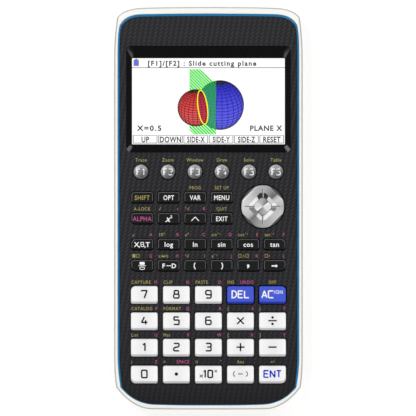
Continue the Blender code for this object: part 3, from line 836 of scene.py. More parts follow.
@dataclass(frozen=True)
class PaleFloor:
    """A pale paper floor that glows a little, so that its shadows stay soft. From below it is clear."""

    name: str
    glow: float = 0.58

    def make(self) -> bpy.types.Material:
        """The material."""
        material = bpy.data.materials.new(self.name)
        material.use_nodes = True
        graph, shader = Graph(material.node_tree), material.node_tree.nodes["Principled BSDF"]
        shader.inputs["Roughness"].default_value = 0.9
        shader.inputs["Specular IOR Level"].default_value = 0.0
        shader.inputs["Emission Color"].default_value = (1.0, 1.0, 1.0, 1.0)
        shader.inputs["Emission Strength"].default_value = self.glow
        fibre = graph.add("ShaderNodeTexNoise", {"Scale": 40.0, "Detail": 2.0}).outputs[0]
        paper = graph.mix(graph.math("MULTIPLY", fibre, 0.02), (0.48, 0.48, 0.48), (0.4, 0.4, 0.4))
        graph.tree.links.new(paper, shader.inputs["Base Color"])
        under = graph.add("ShaderNodeNewGeometry").outputs["Backfacing"]
        graph.tree.links.new(graph.math("SUBTRACT", 1.0, under), shader.inputs["Alpha"])
        return material


# The grey band round the case's outer wall, from 13 to 16.15 mm up, is painted shade that darkens the case's
# outline.
WHITE_CASE = Moulded(
    "white case plastic", rgb(246, 244, 238), 0.36, 5.0, 0.008, 0.02, 0.4,
    band=PaintedLightBand(13.0, 16.15, 0.35, rgb(112, 112, 106), 0.7))  # fmt: skip
BLUE_TRIM = Moulded("blue trim gloss", rgb(16, 120, 172), 0.25, 2.0, 0.004, 0.05, 0.3, coat=0.1)
BLACK_PLATE = WovenPlate("black woven plate", rgb(21, 20, 26), 0.55, 4.0, 0.03, 0.05, 0.2)
GLOSS_BLACK = Moulded("gloss black surround", rgb(0, 0, 0), 0.15, 2.0, 0.001, 0.02, 0.3)
PANE = ClearPane("clear pane")
# The light grey band round the top edge of each black cap, left off its front side, is a painted highlight.
BLACK_KEY = Moulded(
    "black key plastic", rgb(12, 13, 13), 0.32, 4.0, 0.006, 0.05, 0.25,
    band=PaintedLightBand(17.6, 18.145, 0.03, rgb(126, 126, 130), 0.9, 1.0))  # fmt: skip
# The grey band over the sloping sides of each white cap, widest at the bottom, is painted shade.
WHITE_KEY = NumberKeyWhite(
    "white key plastic", rgb(250, 250, 250), 0.28, 4.0, 0.004, 0.01, 0.5,
    band=PaintedLightBand(16.0, 18.5, 0.12, rgb(190, 190, 194), 0.72))  # fmt: skip
# The dark blue band over the sloping sides of each blue cap is painted shade.
BLUE_KEY = Moulded(
    "blue key plastic", rgb(68, 88, 212), 0.32, 4.0, 0.004, 0.04, 0.3,
    band=PaintedLightBand(16.0, 18.5, 0.2, rgb(20, 46, 158), 0.85))  # fmt: skip
PRINT_WHITE = Moulded("white print", rgb(246, 246, 246), 0.5, 6.0, 0.002, 0.02)
PRINT_BLACK = Moulded("black print", rgb(8, 8, 9), 0.6, 6.0, 0.002, 0.05, 0.1)
PRINT_BLUE = Moulded("blue print", rgb(8, 40, 205), 0.6, 6.0, 0.002, 0.05, 0.1)
PRINT_YELLOW = Moulded("yellow print", rgb(170, 158, 92), 0.6, 6.0, 0.002, 0.05, 0.1)
PRINT_PINK = Moulded("pink print", rgb(190, 86, 142), 0.6, 6.0, 0.002, 0.05, 0.1)
RUBBER = Moulded("keypad rubber", rgb(186, 186, 190), 0.75, 3.0, 0.02, 0.08, 0.3)
FOOT_RUBBER = Moulded("foot rubber", rgb(60, 60, 62), 0.8, 3.0, 0.03, 0.1, 0.3)
BOARD = Moulded("circuit board lacquer", rgb(22, 96, 52), 0.35, 1.5, 0.01, 0.2, coat=0.3)
CHIP = Moulded("chip resin", rgb(30, 30, 32), 0.6, 5.0, 0.01, 0.1)
STEEL = Moulded("plated steel", rgb(190, 190, 192), 0.28, 6.0, 0.006, 0.1, metallic=1.0)
# Near-black painted shade for the flanges under the caps and the pad, so that the gap round each reads dark.
SKIRT_SHADE = Moulded("key skirt rubber", rgb(4, 4, 4), 0.9, 3.0, 0.004, 0.05, 0.0)
HARD_BLACK = Moulded("hard black plastic", rgb(26, 26, 28), 0.45, 4.0, 0.01, 0.08)
PANEL_FRAME = Moulded("panel frame metal", rgb(150, 152, 156), 0.35, 5.0, 0.006, 0.1, metallic=0.8)
SLEEVE = Moulded("cell sleeve", rgb(34, 36, 42), 0.25, 2.0, 0.004, 0.08, coat=0.4)
SLEEVE_BAND = Moulded("cell band", rgb(186, 128, 62), 0.25, 2.0, 0.004, 0.08, metallic=0.6)


# The case: its outlines, white tub, blue edge, black plate and display surround.

PAD_CENTRE = (25.5, 0.7)
CASE_START = (0.0, 94.7)
CASE_CURVES = (
    ((12.0, 94.7), (22.0, 94.6), (31.0, 94.3)),
    ((38.6, 94.0), (41.5, 91.9), (43.1, 89.6)),
    ((43.9, 84.0), (44.5, 78.0), (44.5, 69.0)),
    ((44.5, 23.0), (44.5, -23.0), (44.5, -69.0)),
    ((44.5, -76.0), (44.2, -80.5), (43.5, -84.4)),
    ((39.7, -89.7), (33.7, -94.5), (27.0, -94.8)),
    ((18.0, -94.95), (9.0, -94.95), (0.0, -94.95)),
)
TRIM_START = (0.0, 91.3)
TRIM_CURVES = (
    ((12.0, 91.3), (22.0, 91.2), (31.0, 91.0)),
    ((37.0, 90.8), (39.6, 89.2), (41.6, 86.0)),
    ((42.5, 82.5), (42.6, 77.0), (42.6, 69.0)),
    ((42.6, 23.0), (42.6, -23.0), (42.6, -69.0)),
    ((42.6, -75.0), (41.9, -80.5), (41.2, -84.3)),
    ((37.6, -88.8), (32.6, -91.9), (26.0, -92.35)),
    ((18.0, -92.7), (9.0, -92.7), (0.0, -92.7)),
)
CURVE_PIECES = (7, 16, 9, 3, 9, 16, 6)  # how many straight pieces each curve has


def mirrored(start: Place, curves: tuple) -> Outline:
    """A smooth anticlockwise outline from the cubic curves of its right half.

    Args:
        start: the middle of the top.
        curves: two handles and an end point for each curve, down to the middle of the bottom.

    Returns:
        The whole outline.
    """
    half = [Vector(start)]
    for (handle_a, handle_b, end), pieces in zip(curves, CURVE_PIECES, strict=True):
        a, b, c, d = half[-1].copy(), Vector(handle_a), Vector(handle_b), Vector(end)
        for i in range(1, pieces + 1):
            t = i / pieces
            s = 1 - t
            half.append(s**3 * a + 3 * s * s * t * b + 3 * s * t * t * c + t**3 * d)
    right = [(point.x, point.y) for point in reversed(half)]
    return right + [(-x, y) for x, y in reversed(right[1:-1])]


CASE, TRIM = mirrored(CASE_START, CASE_CURVES), mirrored(TRIM_START, TRIM_CURVES)
RESTART_CENTRE = (31.0, -30.0)


def ramp(value: float, low: float, high: float) -> float:
    """How far a value is from low to high, 0 to 1."""
    return min(1.0, max(0.0, (value - low) / (high - low)))


def trim_width(y: float) -> float:
    """The blue edge's width: a hairline along the bottom, wider up the sides and widest along the top."""
    return 0.3 + 0.5 * ramp(y, -88.0, -80.0) + 0.3 * ramp(y, 84.0, 90.5)


@dataclass
class RearCase:
    """The white tub with its feet, screws and socket mouths.

    Its outside and inside are pairs: a height, and how far in from its outline the wall lies there.
    """

    outside: tuple = (
        (0.5, 4.0), (0.56, 3.4), (0.8, 2.5), (1.2, 1.9), (1.7, 1.42), (2.6, 0.9), (4.0, 0.42), (5.8, 0.12),
        (8.0, 0.0), (11.0, 0.03), (13.2, 0.14), (14.6, 0.32), (15.4, 0.5), (15.95, 0.7), (16.28, 0.92),
        (16.4, 1.15),
    )  # fmt: skip
    inside: tuple = ((16.4, -0.1), (8.5, -0.1), (4.2, 0.8), (2.6, 1.6), (2.0, 2.2))
    bay_half: float = 22.6
    bay_y: tuple[float, float] = (23.1, 77.6)
    bay_wall: float = 1.2
    bay_top: tuple[float, float] = (12.2, 12.9)
    boss_z: tuple[float, float] = (1.5, 12.8)
    bosses: tuple = tuple(
        (side * x, y) for x, y in ((34.0, 84.5), (37.6, 24.0), (24.0, -87.9)) for side in (1, -1)
    )
    feet: tuple = tuple((side * 33.0, y) for y in (73.0, -74.0) for side in (1, -1))
    mouth_y: tuple[float, float, float] = (88.0, 93.4, 95.0)
    usb: tuple[float, float] = (-12.0, 7.2)
    jack: tuple[float, float] = (10.0, 6.4)

    def build(self) -> None:
        """Builds every piece of the tub."""
        self.tub()
        self.foot_pads()
        self.screws()

    def tub(self) -> None:
        """The tub itself: floor, walls and rim, with the bay, bosses and cuts."""
        levels = [(inset(CASE, amount), z) for z, amount in self.outside]
        levels += [(inset(TRIM, amount), z) for z, amount in self.inside]
        tub = loft("rear_shell", levels)
        low_y, high_y = self.bay_y
        wall, half = self.bay_wall, self.bay_half + self.bay_wall
        bay = block("bay", (-half, low_y - wall, 1.3), (half, high_y + wall, self.bay_top[1]))
        carve(tub, [bay, *(drum("boss", place, 2.9, self.boss_z) for place in self.bosses)], "UNION")
        cuts = [block("bay", (-self.bay_half, low_y, -1.0), (self.bay_half, high_y, self.bay_top[0]))]
        for place in self.bosses:
            head, shank = circle(2.1, 32, place), circle(1.1, 32, place)
            cuts.append(loft("screw hole", [(head, -1.0), (head, 2.0), (shank, 2.0), (shank, 11.8)]))
        mouth = RoundedBox(self.usb, (4.2, 2.3), 0.7)
        round_mouth = [circle(radius, 32, self.jack) for radius in (3.2, 3.2, 3.8)]
        square_mouth = [mouth.outline(growth) for growth in (0, 0, 0.6)]
        for name, outlines in (("usb mouth", square_mouth), ("jack", round_mouth)):
            cuts.append(loft(name, list(zip(outlines, self.mouth_y, strict=True)), "Y"))
        wide, narrow = (circle(radius, 24, RESTART_CENTRE) for radius in (2.0, 1.2))
        cuts.append(loft("restart hole", [(wide, -1.0), (wide, 0.9), (narrow, 1.2), (narrow, 3.0)]))
        carve(tub, cuts)
        slots = [block("slot", (x, low_y - 2.0, 2.0), (x + 5.8, low_y + 0.5, 4.2)) for x in (11.6, -17.4)]
        wide, narrow = (circle(radius, 48, (0.0, high_y + 1.6)) for radius in (8.0, 6.6))
        slots.append(loft("scoop", [(wide, -1.0), (wide, 0.5), (narrow, 1.1)]))
        carve(tub, slots)
        smooth(tub, 30)
        ride(dress(tub, WHITE_CASE.make()), "case", "rear_case")

    def foot_pads(self) -> None:
        """Four round rubber pads with soft edges."""
        for number, place in enumerate(self.feet, 1):
            pad = drum(f"foot_pad_{number}", place, 3.4, (0.0, 0.62), 0.25)
            ride(dress(smooth(pad), FOOT_RUBBER.make()), "case")

    def screws(self) -> None:
        """Six cross-head screws, sunk in the back."""
        first = drum("case_screw", (0.0, 0.0), 1.85, (1.15, 1.95), 0.2, 32)
        for half_x, half_y in ((1.1, 0.22), (0.22, 1.1)):
            carve(first, [block("bar", (-half_x, -half_y, 0.9), (half_x, half_y, 1.7))])
        dress(smooth(first), STEEL.make())
        for number, (x, y) in enumerate(self.bosses, 1):
            screw = first.copy()
            screw.data = first.data.copy()
            screw.name = f"case_screw_{number}"
            bpy.context.collection.objects.link(screw)
            for vertex in screw.data.vertices:
                vertex.co += Vector((x, y, 0.0)) * MM
            ride(screw, "case")
        bpy.data.objects.remove(first, do_unlink=True)


@dataclass
class FrontPlate:
    """The black plate, the blue edge round it and the gloss surround of the display.

    The surround's slope is given by shares of the way in from its mouth, each with the corners' radius there.
    """

    under: float = 15.35
    top: float = 17.0
    clearance: float = 0.4
    pad_hole: float = 10.55
    past: float = 1.0
    mouth: RoundedBox = RoundedBox((0.0, 51.15), (38.65, 25.1), 2.5, steps=8)
    throat: RoundedBox = RoundedBox((0.0, 50.1), (35.9, 20.3), 0.5, steps=8)
    throat_top: float = 15.75
    surround_under: float = 15.3
    slope: tuple = ((0.12, 2.5), (0.35, 2.6), (0.6, 2.3), (0.85, 1.3), (1.0, 0.5))

    def build(self, keys: list["KeyCap"]) -> None:
        """Builds the plate around the keys, its edge and the surround."""
        self.edge()
        self.plate(keys)
        self.surround()

    def edge(self) -> None:
        """The blue ring, its top rounded over."""
        inner = inset(TRIM, trim_width)
        crown = [(inset(TRIM, 0.06), 16.62), (inset(TRIM, 0.14), 16.7)]
        levels = [(TRIM, 14.0), (TRIM, 16.5), *crown]
        levels += [(inset(inner, -0.08), 16.7), (inner, 16.62), (inner, 14.0)]
        ring = loft("trim_ring", levels)
        close_ring(ring)
        ride(dress(smooth(ring, 50), BLUE_TRIM.make()), "case", "edge_trim")

    def plate(self, keys: list["KeyCap"]) -> None:
        """The plate with its skirt, a hole for every key and one for the surround."""
        rim = inset(TRIM, lambda y: trim_width(y) + 0.08)
        skirt = inset(rim, 1.2)
        levels = [(skirt, self.under), (skirt, 13.2), (rim, 13.2), (rim, 16.7)]
        levels += [(inset(rim, 0.1), 16.9), (inset(rim, 0.3), self.top)]
        plate = loft("front_plate", levels)
        low, high = self.under - self.past, self.top + self.past
        holes = [key.hole(self.clearance, low, high) for key in keys]
        holes.append(drum("pad hole", PAD_CENTRE, self.pad_hole, (low, high), sides=96))
        mouth = self.mouth.outline(0.02)
        holes.append(loft("mouth", [(mouth, low), (mouth, high)]))
        carve(plate, holes)
        smooth(plate, 30)
        ride(dress(plate, BLACK_PLATE.make()), "case", "front_case")

    def surround(self) -> None:
        """Four glossy slopes down to the picture, with rounded corners and a thin lip."""
        outer, throat, under, lip = self.mouth, self.throat, self.surround_under, 0.15
        levels = [(throat.outline(), under), (outer.outline(), under), (outer.outline(), 16.92)]
        levels += [(outer.outline(-0.05), self.top), (outer.outline(-lip), 16.98)]
        for share, radius in self.slope:
            centre = (0.0, (1 - share) * outer.centre[1] + share * throat.centre[1])
            half = [(1 - share) * (a - lip) + share * b for a, b in zip(outer.half, throat.half, strict=True)]
            drop = (self.top - self.throat_top) * share**0.95
            ledge = RoundedBox(centre, (half[0], half[1]), radius, steps=outer.steps)
            levels.append((ledge.outline(), self.top - drop))
        levels.append((throat.outline(), under))
        frame_piece = loft("display_surround", levels)
        close_ring(frame_piece)
        ride(dress(smooth(frame_piece, 24), GLOSS_BLACK.make()), "case")


def close_ring(obj: bpy.types.Object) -> None:
    """Opens a tube that was lofted round to its start: drops its two end caps and joins the loops they leave.

    Args:
        obj: the loft, whose first and last outlines are the same or meet in a flat step.
    """
    most_corners = 8  # of any face but an end cap
    take(obj)
    bpy.ops.object.mode_set(mode="EDIT")
    mesh = bmesh.from_edit_mesh(obj.data)
    caps = [face for face in mesh.faces if len(face.verts) > most_corners]
    bmesh.ops.delete(mesh, geom=caps, context="FACES_ONLY")
    loops = [edge for edge in mesh.edges if edge.is_boundary]
    doubles = [vertex for vertex in mesh.verts if vertex.is_boundary]
    bmesh.ops.remove_doubles(mesh, verts=doubles, dist=0.01 * MM)
    apart = [edge for edge in loops if edge.is_valid and edge.is_boundary]
    if apart:
        bmesh.ops.bridge_loops(mesh, edges=apart)
    bmesh.update_edit_mesh(obj.data)
    bpy.ops.mesh.select_all(action="SELECT")
    bpy.ops.mesh.normals_make_consistent(inside=False)
    bpy.ops.object.mode_set(mode="OBJECT")


# The keypad: caps with their legends, and the cursor pad.

# The pad's tones are painted reflections and painted shade: bright and dark sectors round its centre, and black
# sectors on one side of the groove.
PAD_TOP = TurnedMetal(
    "cursor pad metal", rgb(160, 160, 160), 0.42, 4.0, 0.004, 0.04, metallic=0.35, centre=PAD_CENTRE, tones=(
        (0, 179), (24, 205), (34, 180), (42, 84), (54, 112), (80, 162), (110, 170), (140, 194), (168, 208),
        (196, 204), (216, 182), (227, 104), (242, 132), (268, 163), (295, 176), (325, 196), (345, 193),
        (360, 179)))  # fmt: skip
PAD_GROOVE = TurnedMetal(
    "cursor groove metal", rgb(190, 190, 190), 0.45, 4.0, 0.003, 0.02, 0.1, centre=PAD_CENTRE, tones=(
        (0, 252), (14, 252), (18, 206), (58, 210), (62, 0), (118, 0), (122, 222), (140, 240), (180, 252),
        (184, 118), (234, 126), (238, 218), (275, 236), (322, 240), (334, 230), (338, 116), (356, 124),
        (359, 252)))  # fmt: skip
PAD_BUTTON = TurnedMetal(
    "cursor button metal", rgb(180, 180, 180), 0.4, 4.0, 0.004, 0.03, metallic=0.3, centre=PAD_CENTRE, tones=(
        (0, 224), (30, 244), (38, 240), (43, 74), (62, 138), (95, 166), (128, 184), (150, 218), (180, 214),
        (212, 246), (219, 240), (224, 82), (245, 144), (275, 162), (300, 180), (322, 222),
        (360, 224)))  # fmt: skip
# Painted shadow for the engraved lines and the ring round the button, and a painted highlight beside each line.
PAD_PAINTED_SHADOW = Moulded("cursor line shadow", rgb(58, 58, 60), 0.5, 4.0, 0.002, 0.04)
# A darker copy of the pad metal: painted shade on the pad's sides and diagonal facets.
PAD_FACET_SHADE = Moulded("cursor facet painted shade", rgb(74, 74, 76), 0.5, 4.0, 0.003, 0.04, 0.2)
PAD_PAINTED_HIGHLIGHT = Moulded("cursor line shine", rgb(206, 206, 206), 0.4, 4.0, 0.002, 0.02)
# Its light colour is a painted highlight on each button's upper left.
BUTTON_METAL = ButtonMetal(
    "button metal", rgb(84, 84, 86), 0.34, 5.0, 0.004, 0.04, metallic=0.3, light=rgb(168, 168, 170)
)
PRINT_GREY = Moulded("grey print", rgb(84, 84, 86), 0.6, 6.0, 0.002, 0.05, 0.1)


@dataclass(frozen=True)
class Dot:
    """A printed dot."""

    place: Place
    radius: float

    def make(self, top: float, thickness: float = 0.06) -> bpy.types.Object:
        """Prints the dot as a thin disc with its upper side at a height."""
        return drum("dot", self.place, self.radius, (top - thickness, top), 0.01, 24)


@dataclass(frozen=True)
class Bars:
    """A small printed sign made of upright and level bars, each given by its middle and its half size."""

    place: Place
    bars: tuple[tuple[float, float, float, float], ...]

    def make(self, top: float, thickness: float = 0.06) -> bpy.types.Object:
        """Prints the bars as thin plates."""
        plates = []
        for x, y, half_x, half_y in self.bars:
            centre, corner = (self.place[0] + x, self.place[1] + y), min(half_x, half_y) * 0.6
            box = RoundedBox(centre, (half_x, half_y), corner, steps=3)
            plates.append(loft("bar", [(box.outline(), top - thickness), (box.outline(), top)]))
        return join("sign", plates)


@dataclass(frozen=True)
class ArrowSign:
    """A printed arrow, with a head at its right end or at both ends."""

    place: Place
    length: float
    width: float
    both: bool = False

    def make(self, top: float, thickness: float = 0.06) -> bpy.types.Object:
        """Prints the arrow as a thin plate."""
        half, w = self.length / 2, self.width / 2
        neck, barb = half - self.width * 1.5, w * 2.6
        right = [(neck, w), (neck, barb), (half, 0.0), (neck, -barb), (neck, -w)]
        left = [(-x, -y) for x, y in right] if self.both else [(-half, -w), (-half, w)]
        points = [(x + self.place[0], y + self.place[1]) for x, y in reversed(right + left)]
        return loft("arrow", [(points, top - thickness), (points, top)])


Mark = Lettering | Stroke | Dot | Bars | ArrowSign


def print_marks(
    name: str, marks: Iterable[Mark], top: float, material: bpy.types.Material
) -> bpy.types.Object:
    """Prints marks in one colour and joins them.

    Args:
        name: the joined piece's name.
        marks: what to print.
        top: the height of their upper side.
        material: their print.

    Returns:
        The joined marks.
    """
    made = [mark.make(top) for mark in marks]
    for obj in made:
        dress(obj, material)
    return join(name, made)


@dataclass
class KeyCap:
    """One key: a cap over its hidden flange, with its legends.

    Its crown is how far the cap is drawn in, and how far below its top, from the edge to the flat. Its slopes
    are the shares of that drawing in at its sides, its top and its bottom.
    """

    node: str
    centre: Place
    half: Place
    corner: float
    top: float
    finish: Moulded
    slot: str
    odd_corner: tuple[int, int] | None = None
    odd_radius: float = 0.0
    crown: tuple[Place, ...] = ((0.0, 0.6), (0.05, 0.38), (0.16, 0.18), (0.32, 0.06), (0.5, 0.0))
    slopes: tuple[float, float, float] = (1.0, 1.0, 1.0)
    dish: float = 0.05
    sinking: tuple[Place, ...] = ((0.5, 0.35), (1.1, 0.75), (1.7, 1.0))
    flange_z: tuple[float, float] = (14.3, 15.1)
    flange_reach: float = 0.7
    skirt_top: float = 15.2
    print_height: float = 0.015
    marks: list[tuple[Moulded, list[Mark]]] = field(default_factory=list)

    def box(self) -> RoundedBox:
        """The cap's outline."""
        return RoundedBox(self.centre, self.half, self.corner, self.odd_corner, self.odd_radius)

    def ledge(self, drawn_in: float, more: float = 0.0) -> Outline:
        """The cap's outline, drawn in by its own shares on its sides, and then evenly by more."""
        side, top, bottom = (share * drawn_in for share in self.slopes)
        centre = (self.centre[0], self.centre[1] + (bottom - top) / 2)
        half = (self.half[0] - side, self.half[1] - (top + bottom) / 2)
        corner, odd = max(self.corner - side, 0.25), max(self.odd_radius - side, 0.25)
        return RoundedBox(centre, half, corner, self.odd_corner, odd).outline(-more)

    def hole(self, clearance: float, low: float, high: float) -> bpy.types.Object:
        """A tool for the cap's hole in the plate."""
        outline = self.box().outline(clearance)
        return loft("key hole", [(outline, low), (outline, high)])

    def build(self) -> None:
        """Builds the cap with a dished top, prints it and fastens it to its body."""
        box, (low, high) = self.box(), self.flange_z
        flange = box.outline(self.flange_reach)
        levels = [(flange, low), (flange, high), (box.outline(), high)]
        levels += [(self.ledge(drawn_in), self.top - drop) for drawn_in, drop in self.crown]
        last = self.crown[-1][0]
        levels += [(self.ledge(last, more), self.top - self.dish * sink) for more, sink in self.sinking]
        cap = dress(smooth(loft(self.node, levels), 40), self.finish.make())
        # The flange below the skirt's top takes the near-black painted shade.
        cap.data.materials.append(SKIRT_SHADE.make())
        for polygon in cap.data.polygons:
            polygon.material_index = int(polygon.center.z < self.skirt_top * MM)
        pieces = [cap]
        for finish, marks in self.marks:
            pieces.append(print_marks("marks", marks, self.top + self.print_height, finish.make()))
        cap = join(f"{self.node}_cap", pieces)
        ride(cap, self.node, self.node)


@dataclass(frozen=True)
class KeyFace:
    """The spot on a key that its marks are placed from."""

    x: float
    y: float

    def stroke(self, glyph: str, dx: float, dy: float, size: Place, width: float) -> Stroke:
        """A technical glyph, this far from the spot."""
        return Stroke(glyph, (self.x + dx, self.y + dy), size, width)

    def letters(self, text: str, dx: float, dy: float, height: float, bold: float, **style: float) -> Lettering:
        """A line in the built-in font, this far from the spot."""
        return Lettering(text, (self.x + dx, self.y + dy), height, bold, **style)

    def dot(self, dy: float, radius: float) -> Dot:
        """A dot, this far above the spot."""
        return Dot((self.x, self.y + dy), radius)


FRACTION_TOP = ((0.0, 1.2, 1.2, 0.68), (0.0, 0.1, 1.75, 0.14))
FRACTION_FOOT = ((0.0, 0.55, 1.2, 0.16), (0.0, -0.55, 1.2, 0.16), (-1.0, 0.0, 0.2, 0.7), (1.0, 0.0, 0.2, 0.7))


@dataclass
class Keypad:
    """All the keys, in their rows."""

    function_row: float = 17.0
    function_pitch: float = 12.68
    small_pitch: float = 12.45
    small_half: tuple[float, float] = (5.0, 2.5)
    number_pitch: float = 15.05
    number_half: tuple[float, float] = (6.375, 4.2)
    function_crown: tuple = ((0.0, 0.75), (0.06, 0.55), (0.22, 0.36), (0.55, 0.2), (1.1, 0.1), (1.6, 0.04))
    small_rows: tuple = (
        (4.8, ("shift", "options", "variables", "menu")),
        (-5.1, ("alpha", "square", "power", "exit")),
        (-17.2, ("x_theta_t", "log", "ln", "sin", "cos", "tan")),
        (-27.2, ("fraction", "decimal_toggle", "open_bracket", "close_bracket", "comma", "arrow")),
    )
    number_crown: tuple = ((0.0, 1.1), (0.06, 0.86), (0.2, 0.66), (0.74, 0.14), (0.88, 0.04), (1.0, 0.0))
    number_rows: tuple = (
        (-40.8, ("7", "8", "9", "delete", "clear_on")),
        (-53.2, ("4", "5", "6", "multiply", "divide")),
        (-65.6, ("1", "2", "3", "plus", "minus")),
        (-78.2, ("0", "point", "exponent", "negate", "execute")),
    )
    odd_corners: dict = field(default_factory=lambda: {
        "shift": (-1, 1, 1.4), "alpha": (-1, -1, 2.2), "x_theta_t": (-1, 1, 2.2), "tan": (1, 1, 2.2),
        "fraction": (-1, -1, 2.2), "arrow": (1, -1, 2.2), "7": (-1, 1, 2.3), "clear_on": (1, 1, 2.3),
        "0": (-1, -1, 2.3), "execute": (1, -1, 2.3)})  # fmt: skip
    words: dict = field(default_factory=lambda: {
        "options": "OPT", "variables": "VAR", "menu": "MENU", "exit": "EXIT", "log": "log", "ln": "ln",
        "sin": "sin", "cos": "cos", "tan": "tan"})  # fmt: skip

    def caps(self) -> list[KeyCap]:
        """Every key with its sizes and marks."""
        caps = [self.function_cap(i) for i in range(6)]
        for y, names in self.small_rows:
            columns = [(column - 2.5) * self.small_pitch for column in range(len(names))]
            caps += [self.small_cap(name, x, y) for name, x in zip(names, columns, strict=True)]
        for y, names in self.number_rows:
            columns = [(column - 2) * self.number_pitch for column in range(len(names))]
            caps += [self.number_cap(name, x, y) for name, x in zip(names, columns, strict=True)]
        for cap in caps:
            odd = self.odd_corners.get(cap.node.removeprefix("key_"))
            if odd:
                cap.odd_corner, cap.odd_radius = odd[:2], odd[2]
        return caps

    def function_cap(self, i: int) -> KeyCap:
        """One of the six round function keys."""
        x, y = (i - 2.5) * self.function_pitch, self.function_row
        face = KeyFace(x, y - 0.05)
        cap = KeyCap(f"key_f{i + 1}", (x, y), (3.5, 3.5), 3.5, 18.0, BUTTON_METAL, "function_key_metal")
        cap.crown, cap.dish = self.function_crown, -0.02
        letter = face.stroke("F", -1.2, 0.0, (1.35, 2.7), 0.62)
        digit = face.stroke(str(i + 1), 1.15, 0.0, (1.7, 2.75), 0.47)
        cap.marks = [(PRINT_WHITE, [letter, digit])]
        return cap

    def small_cap(self, name: str, x: float, y: float) -> KeyCap:
        """One of the small black keys."""
        cap = KeyCap(f"key_{name}", (x, y + 0.15), self.small_half, 0.95, 18.2, BLACK_KEY, "black_key")
        cap.slopes, cap.marks = (0.8, 0.7, 1.1), self.small_marks(name, x, y)
        return cap

    def number_cap(self, name: str, x: float, y: float) -> KeyCap:
        """One of the large keys, two of which are blue."""
        blue = name in ("delete", "clear_on")
        finish, slot = (BLUE_KEY, "blue_key") if blue else (WHITE_KEY, "white_key")
        cap = KeyCap(f"key_{name}", (x, y), self.number_half, 1.0, 18.6, finish, slot)
        cap.crown, cap.slopes, cap.marks = self.number_crown, (0.26, 0.26, 1.45), self.number_marks(name, x, y)
        return cap

    def small_marks(self, name: str, x: float, y: float) -> list[tuple[Moulded, list[Mark]]]:
        """The marks on a small key at this place."""
        face = KeyFace(x, y)
        if name in ("shift", "alpha"):
            finish = PRINT_YELLOW if name == "shift" else PRINT_PINK
            return [(finish, [face.letters(name.upper(), 0.0, 0.1, 2.25, 0.008, stretch=0.88, spacing=1.08)])]
        if name in self.words:
            word = self.words[name]
            rise, stretch = (0.15, 1.0) if word.islower() else (0.1, 0.8)
            return [(PRINT_WHITE, [face.letters(word, 0.0, rise, 2.3, 0.014, stretch=stretch, spacing=1.1)])]
        marks: list[Mark] = {
            "square": [
                face.letters("x", -0.5, 0.2, 3.1, 0.014, slant=0.35), face.letters("2", 1.25, 1.0, 1.3, 0.02)],
            "power": [face.stroke("^", 0.0, 0.2, (3.5, 2.3), 0.42)],
            "x_theta_t": [
                face.letters("X", -2.6, 0.1, 2.3, 0.022), face.letters(",", -1.35, 0.0, 2.3, 0.02),
                face.stroke("0", 0.05, 0.1, (1.3, 2.0), 0.34), face.stroke("-", 0.05, 0.1, (1.2, 1.0), 0.24),
                face.letters(",", 1.3, 0.0, 2.3, 0.02), face.letters("T", 2.6, 0.1, 2.3, 0.022)],
            "fraction": [Bars((x, y), FRACTION_TOP), Bars((x, y - 1.1), FRACTION_FOOT)],
            "decimal_toggle": [
                face.letters("F", -2.4, 0.1, 2.2, 0.022), ArrowSign((x + 0.05, y + 0.1), 2.2, 0.3, True),
                face.letters("D", 2.4, 0.1, 2.2, 0.022)],
            "open_bracket": [face.stroke("(", 0.0, 0.0, (1.1, 3.2), 0.46)],
            "close_bracket": [face.stroke(")", 0.0, 0.0, (1.1, 3.2), 0.46)],
            "comma": [face.letters(",", 0.0, 2.0, 4.4, 0.03)],
            "arrow": [ArrowSign((x, y), 2.9, 0.62)],
        }[name]  # fmt: skip
        return [(PRINT_WHITE, marks)]

    def number_marks(self, name: str, x: float, y: float) -> list[tuple[Moulded, list[Mark]]]:
        """The marks on a large key at this place. They sit a little above its middle."""
        face = KeyFace(x, y + 0.28)
        here, line, tall = (face.x, face.y), 0.66, (1.7, 3.35)
        if name.isdigit():
            return [(PRINT_BLACK, spell(name, here, (2.5, 3.5), 0.7, 0.0))]
        clear = spell("AC", (face.x - 2.3, face.y), (2.3, 3.2), line, 0.75)
        switch_on = face.letters("/ON", 2.75, 1.1, 1.7, 0.012, stretch=0.9, spacing=1.14)
        signs: dict[str, tuple[Moulded, list[Mark]]] = {
            "delete": (PRINT_WHITE, spell("DEL", here, (2.1, 3.2), line, 0.85)),
            "clear_on": (PRINT_WHITE, [*clear, switch_on]),
            "multiply": (PRINT_BLACK, [face.stroke("x", 0.0, 0.0, (3.1, 3.1), line)]),
            "divide": (PRINT_BLACK, [
                face.stroke("-", 0.0, 0.0, (3.8, 3.4), line), face.dot(1.5, 0.56), face.dot(-1.5, 0.56)]),
            "plus": (PRINT_BLACK, [face.stroke("+", 0.0, 0.0, (3.8, 3.8), 0.68)]),
            "minus": (PRINT_BLACK, [face.stroke("-", 0.0, 0.0, (3.8, 3.4), 0.68)]),
            "point": (PRINT_BLACK, [face.dot(-0.05, 0.78)]),
            "exponent": (PRINT_BLACK, [
                face.stroke("x", -3.35, -0.95, (1.5, 1.4), 0.36), face.stroke("1", -1.7, 0.0, tall, 0.68),
                face.stroke("0", 0.85, 0.0, (2.1, 3.35), 0.68), face.stroke("x", 3.45, 1.3, (1.1, 1.1), 0.32)]),
            "negate": (PRINT_GREY, [
                face.stroke("(", -2.75, 0.0, (1.3, 2.5), 0.42), face.stroke("-", 0.0, 0.0, (2.2, 2.2), 0.46),
                face.stroke(")", 2.75, 0.0, (1.3, 2.5), 0.42)]),
            "execute": (PRINT_BLUE, spell("ENT", here, (2.1, 3.1), line, 0.85)),
        }  # fmt: skip
        return [signs[name]]

    def build(self) -> list[KeyCap]:
        """Builds every key and returns their caps, for the holes in the plate."""
        caps = self.caps()
        for cap in caps:
            cap.build()
        return caps


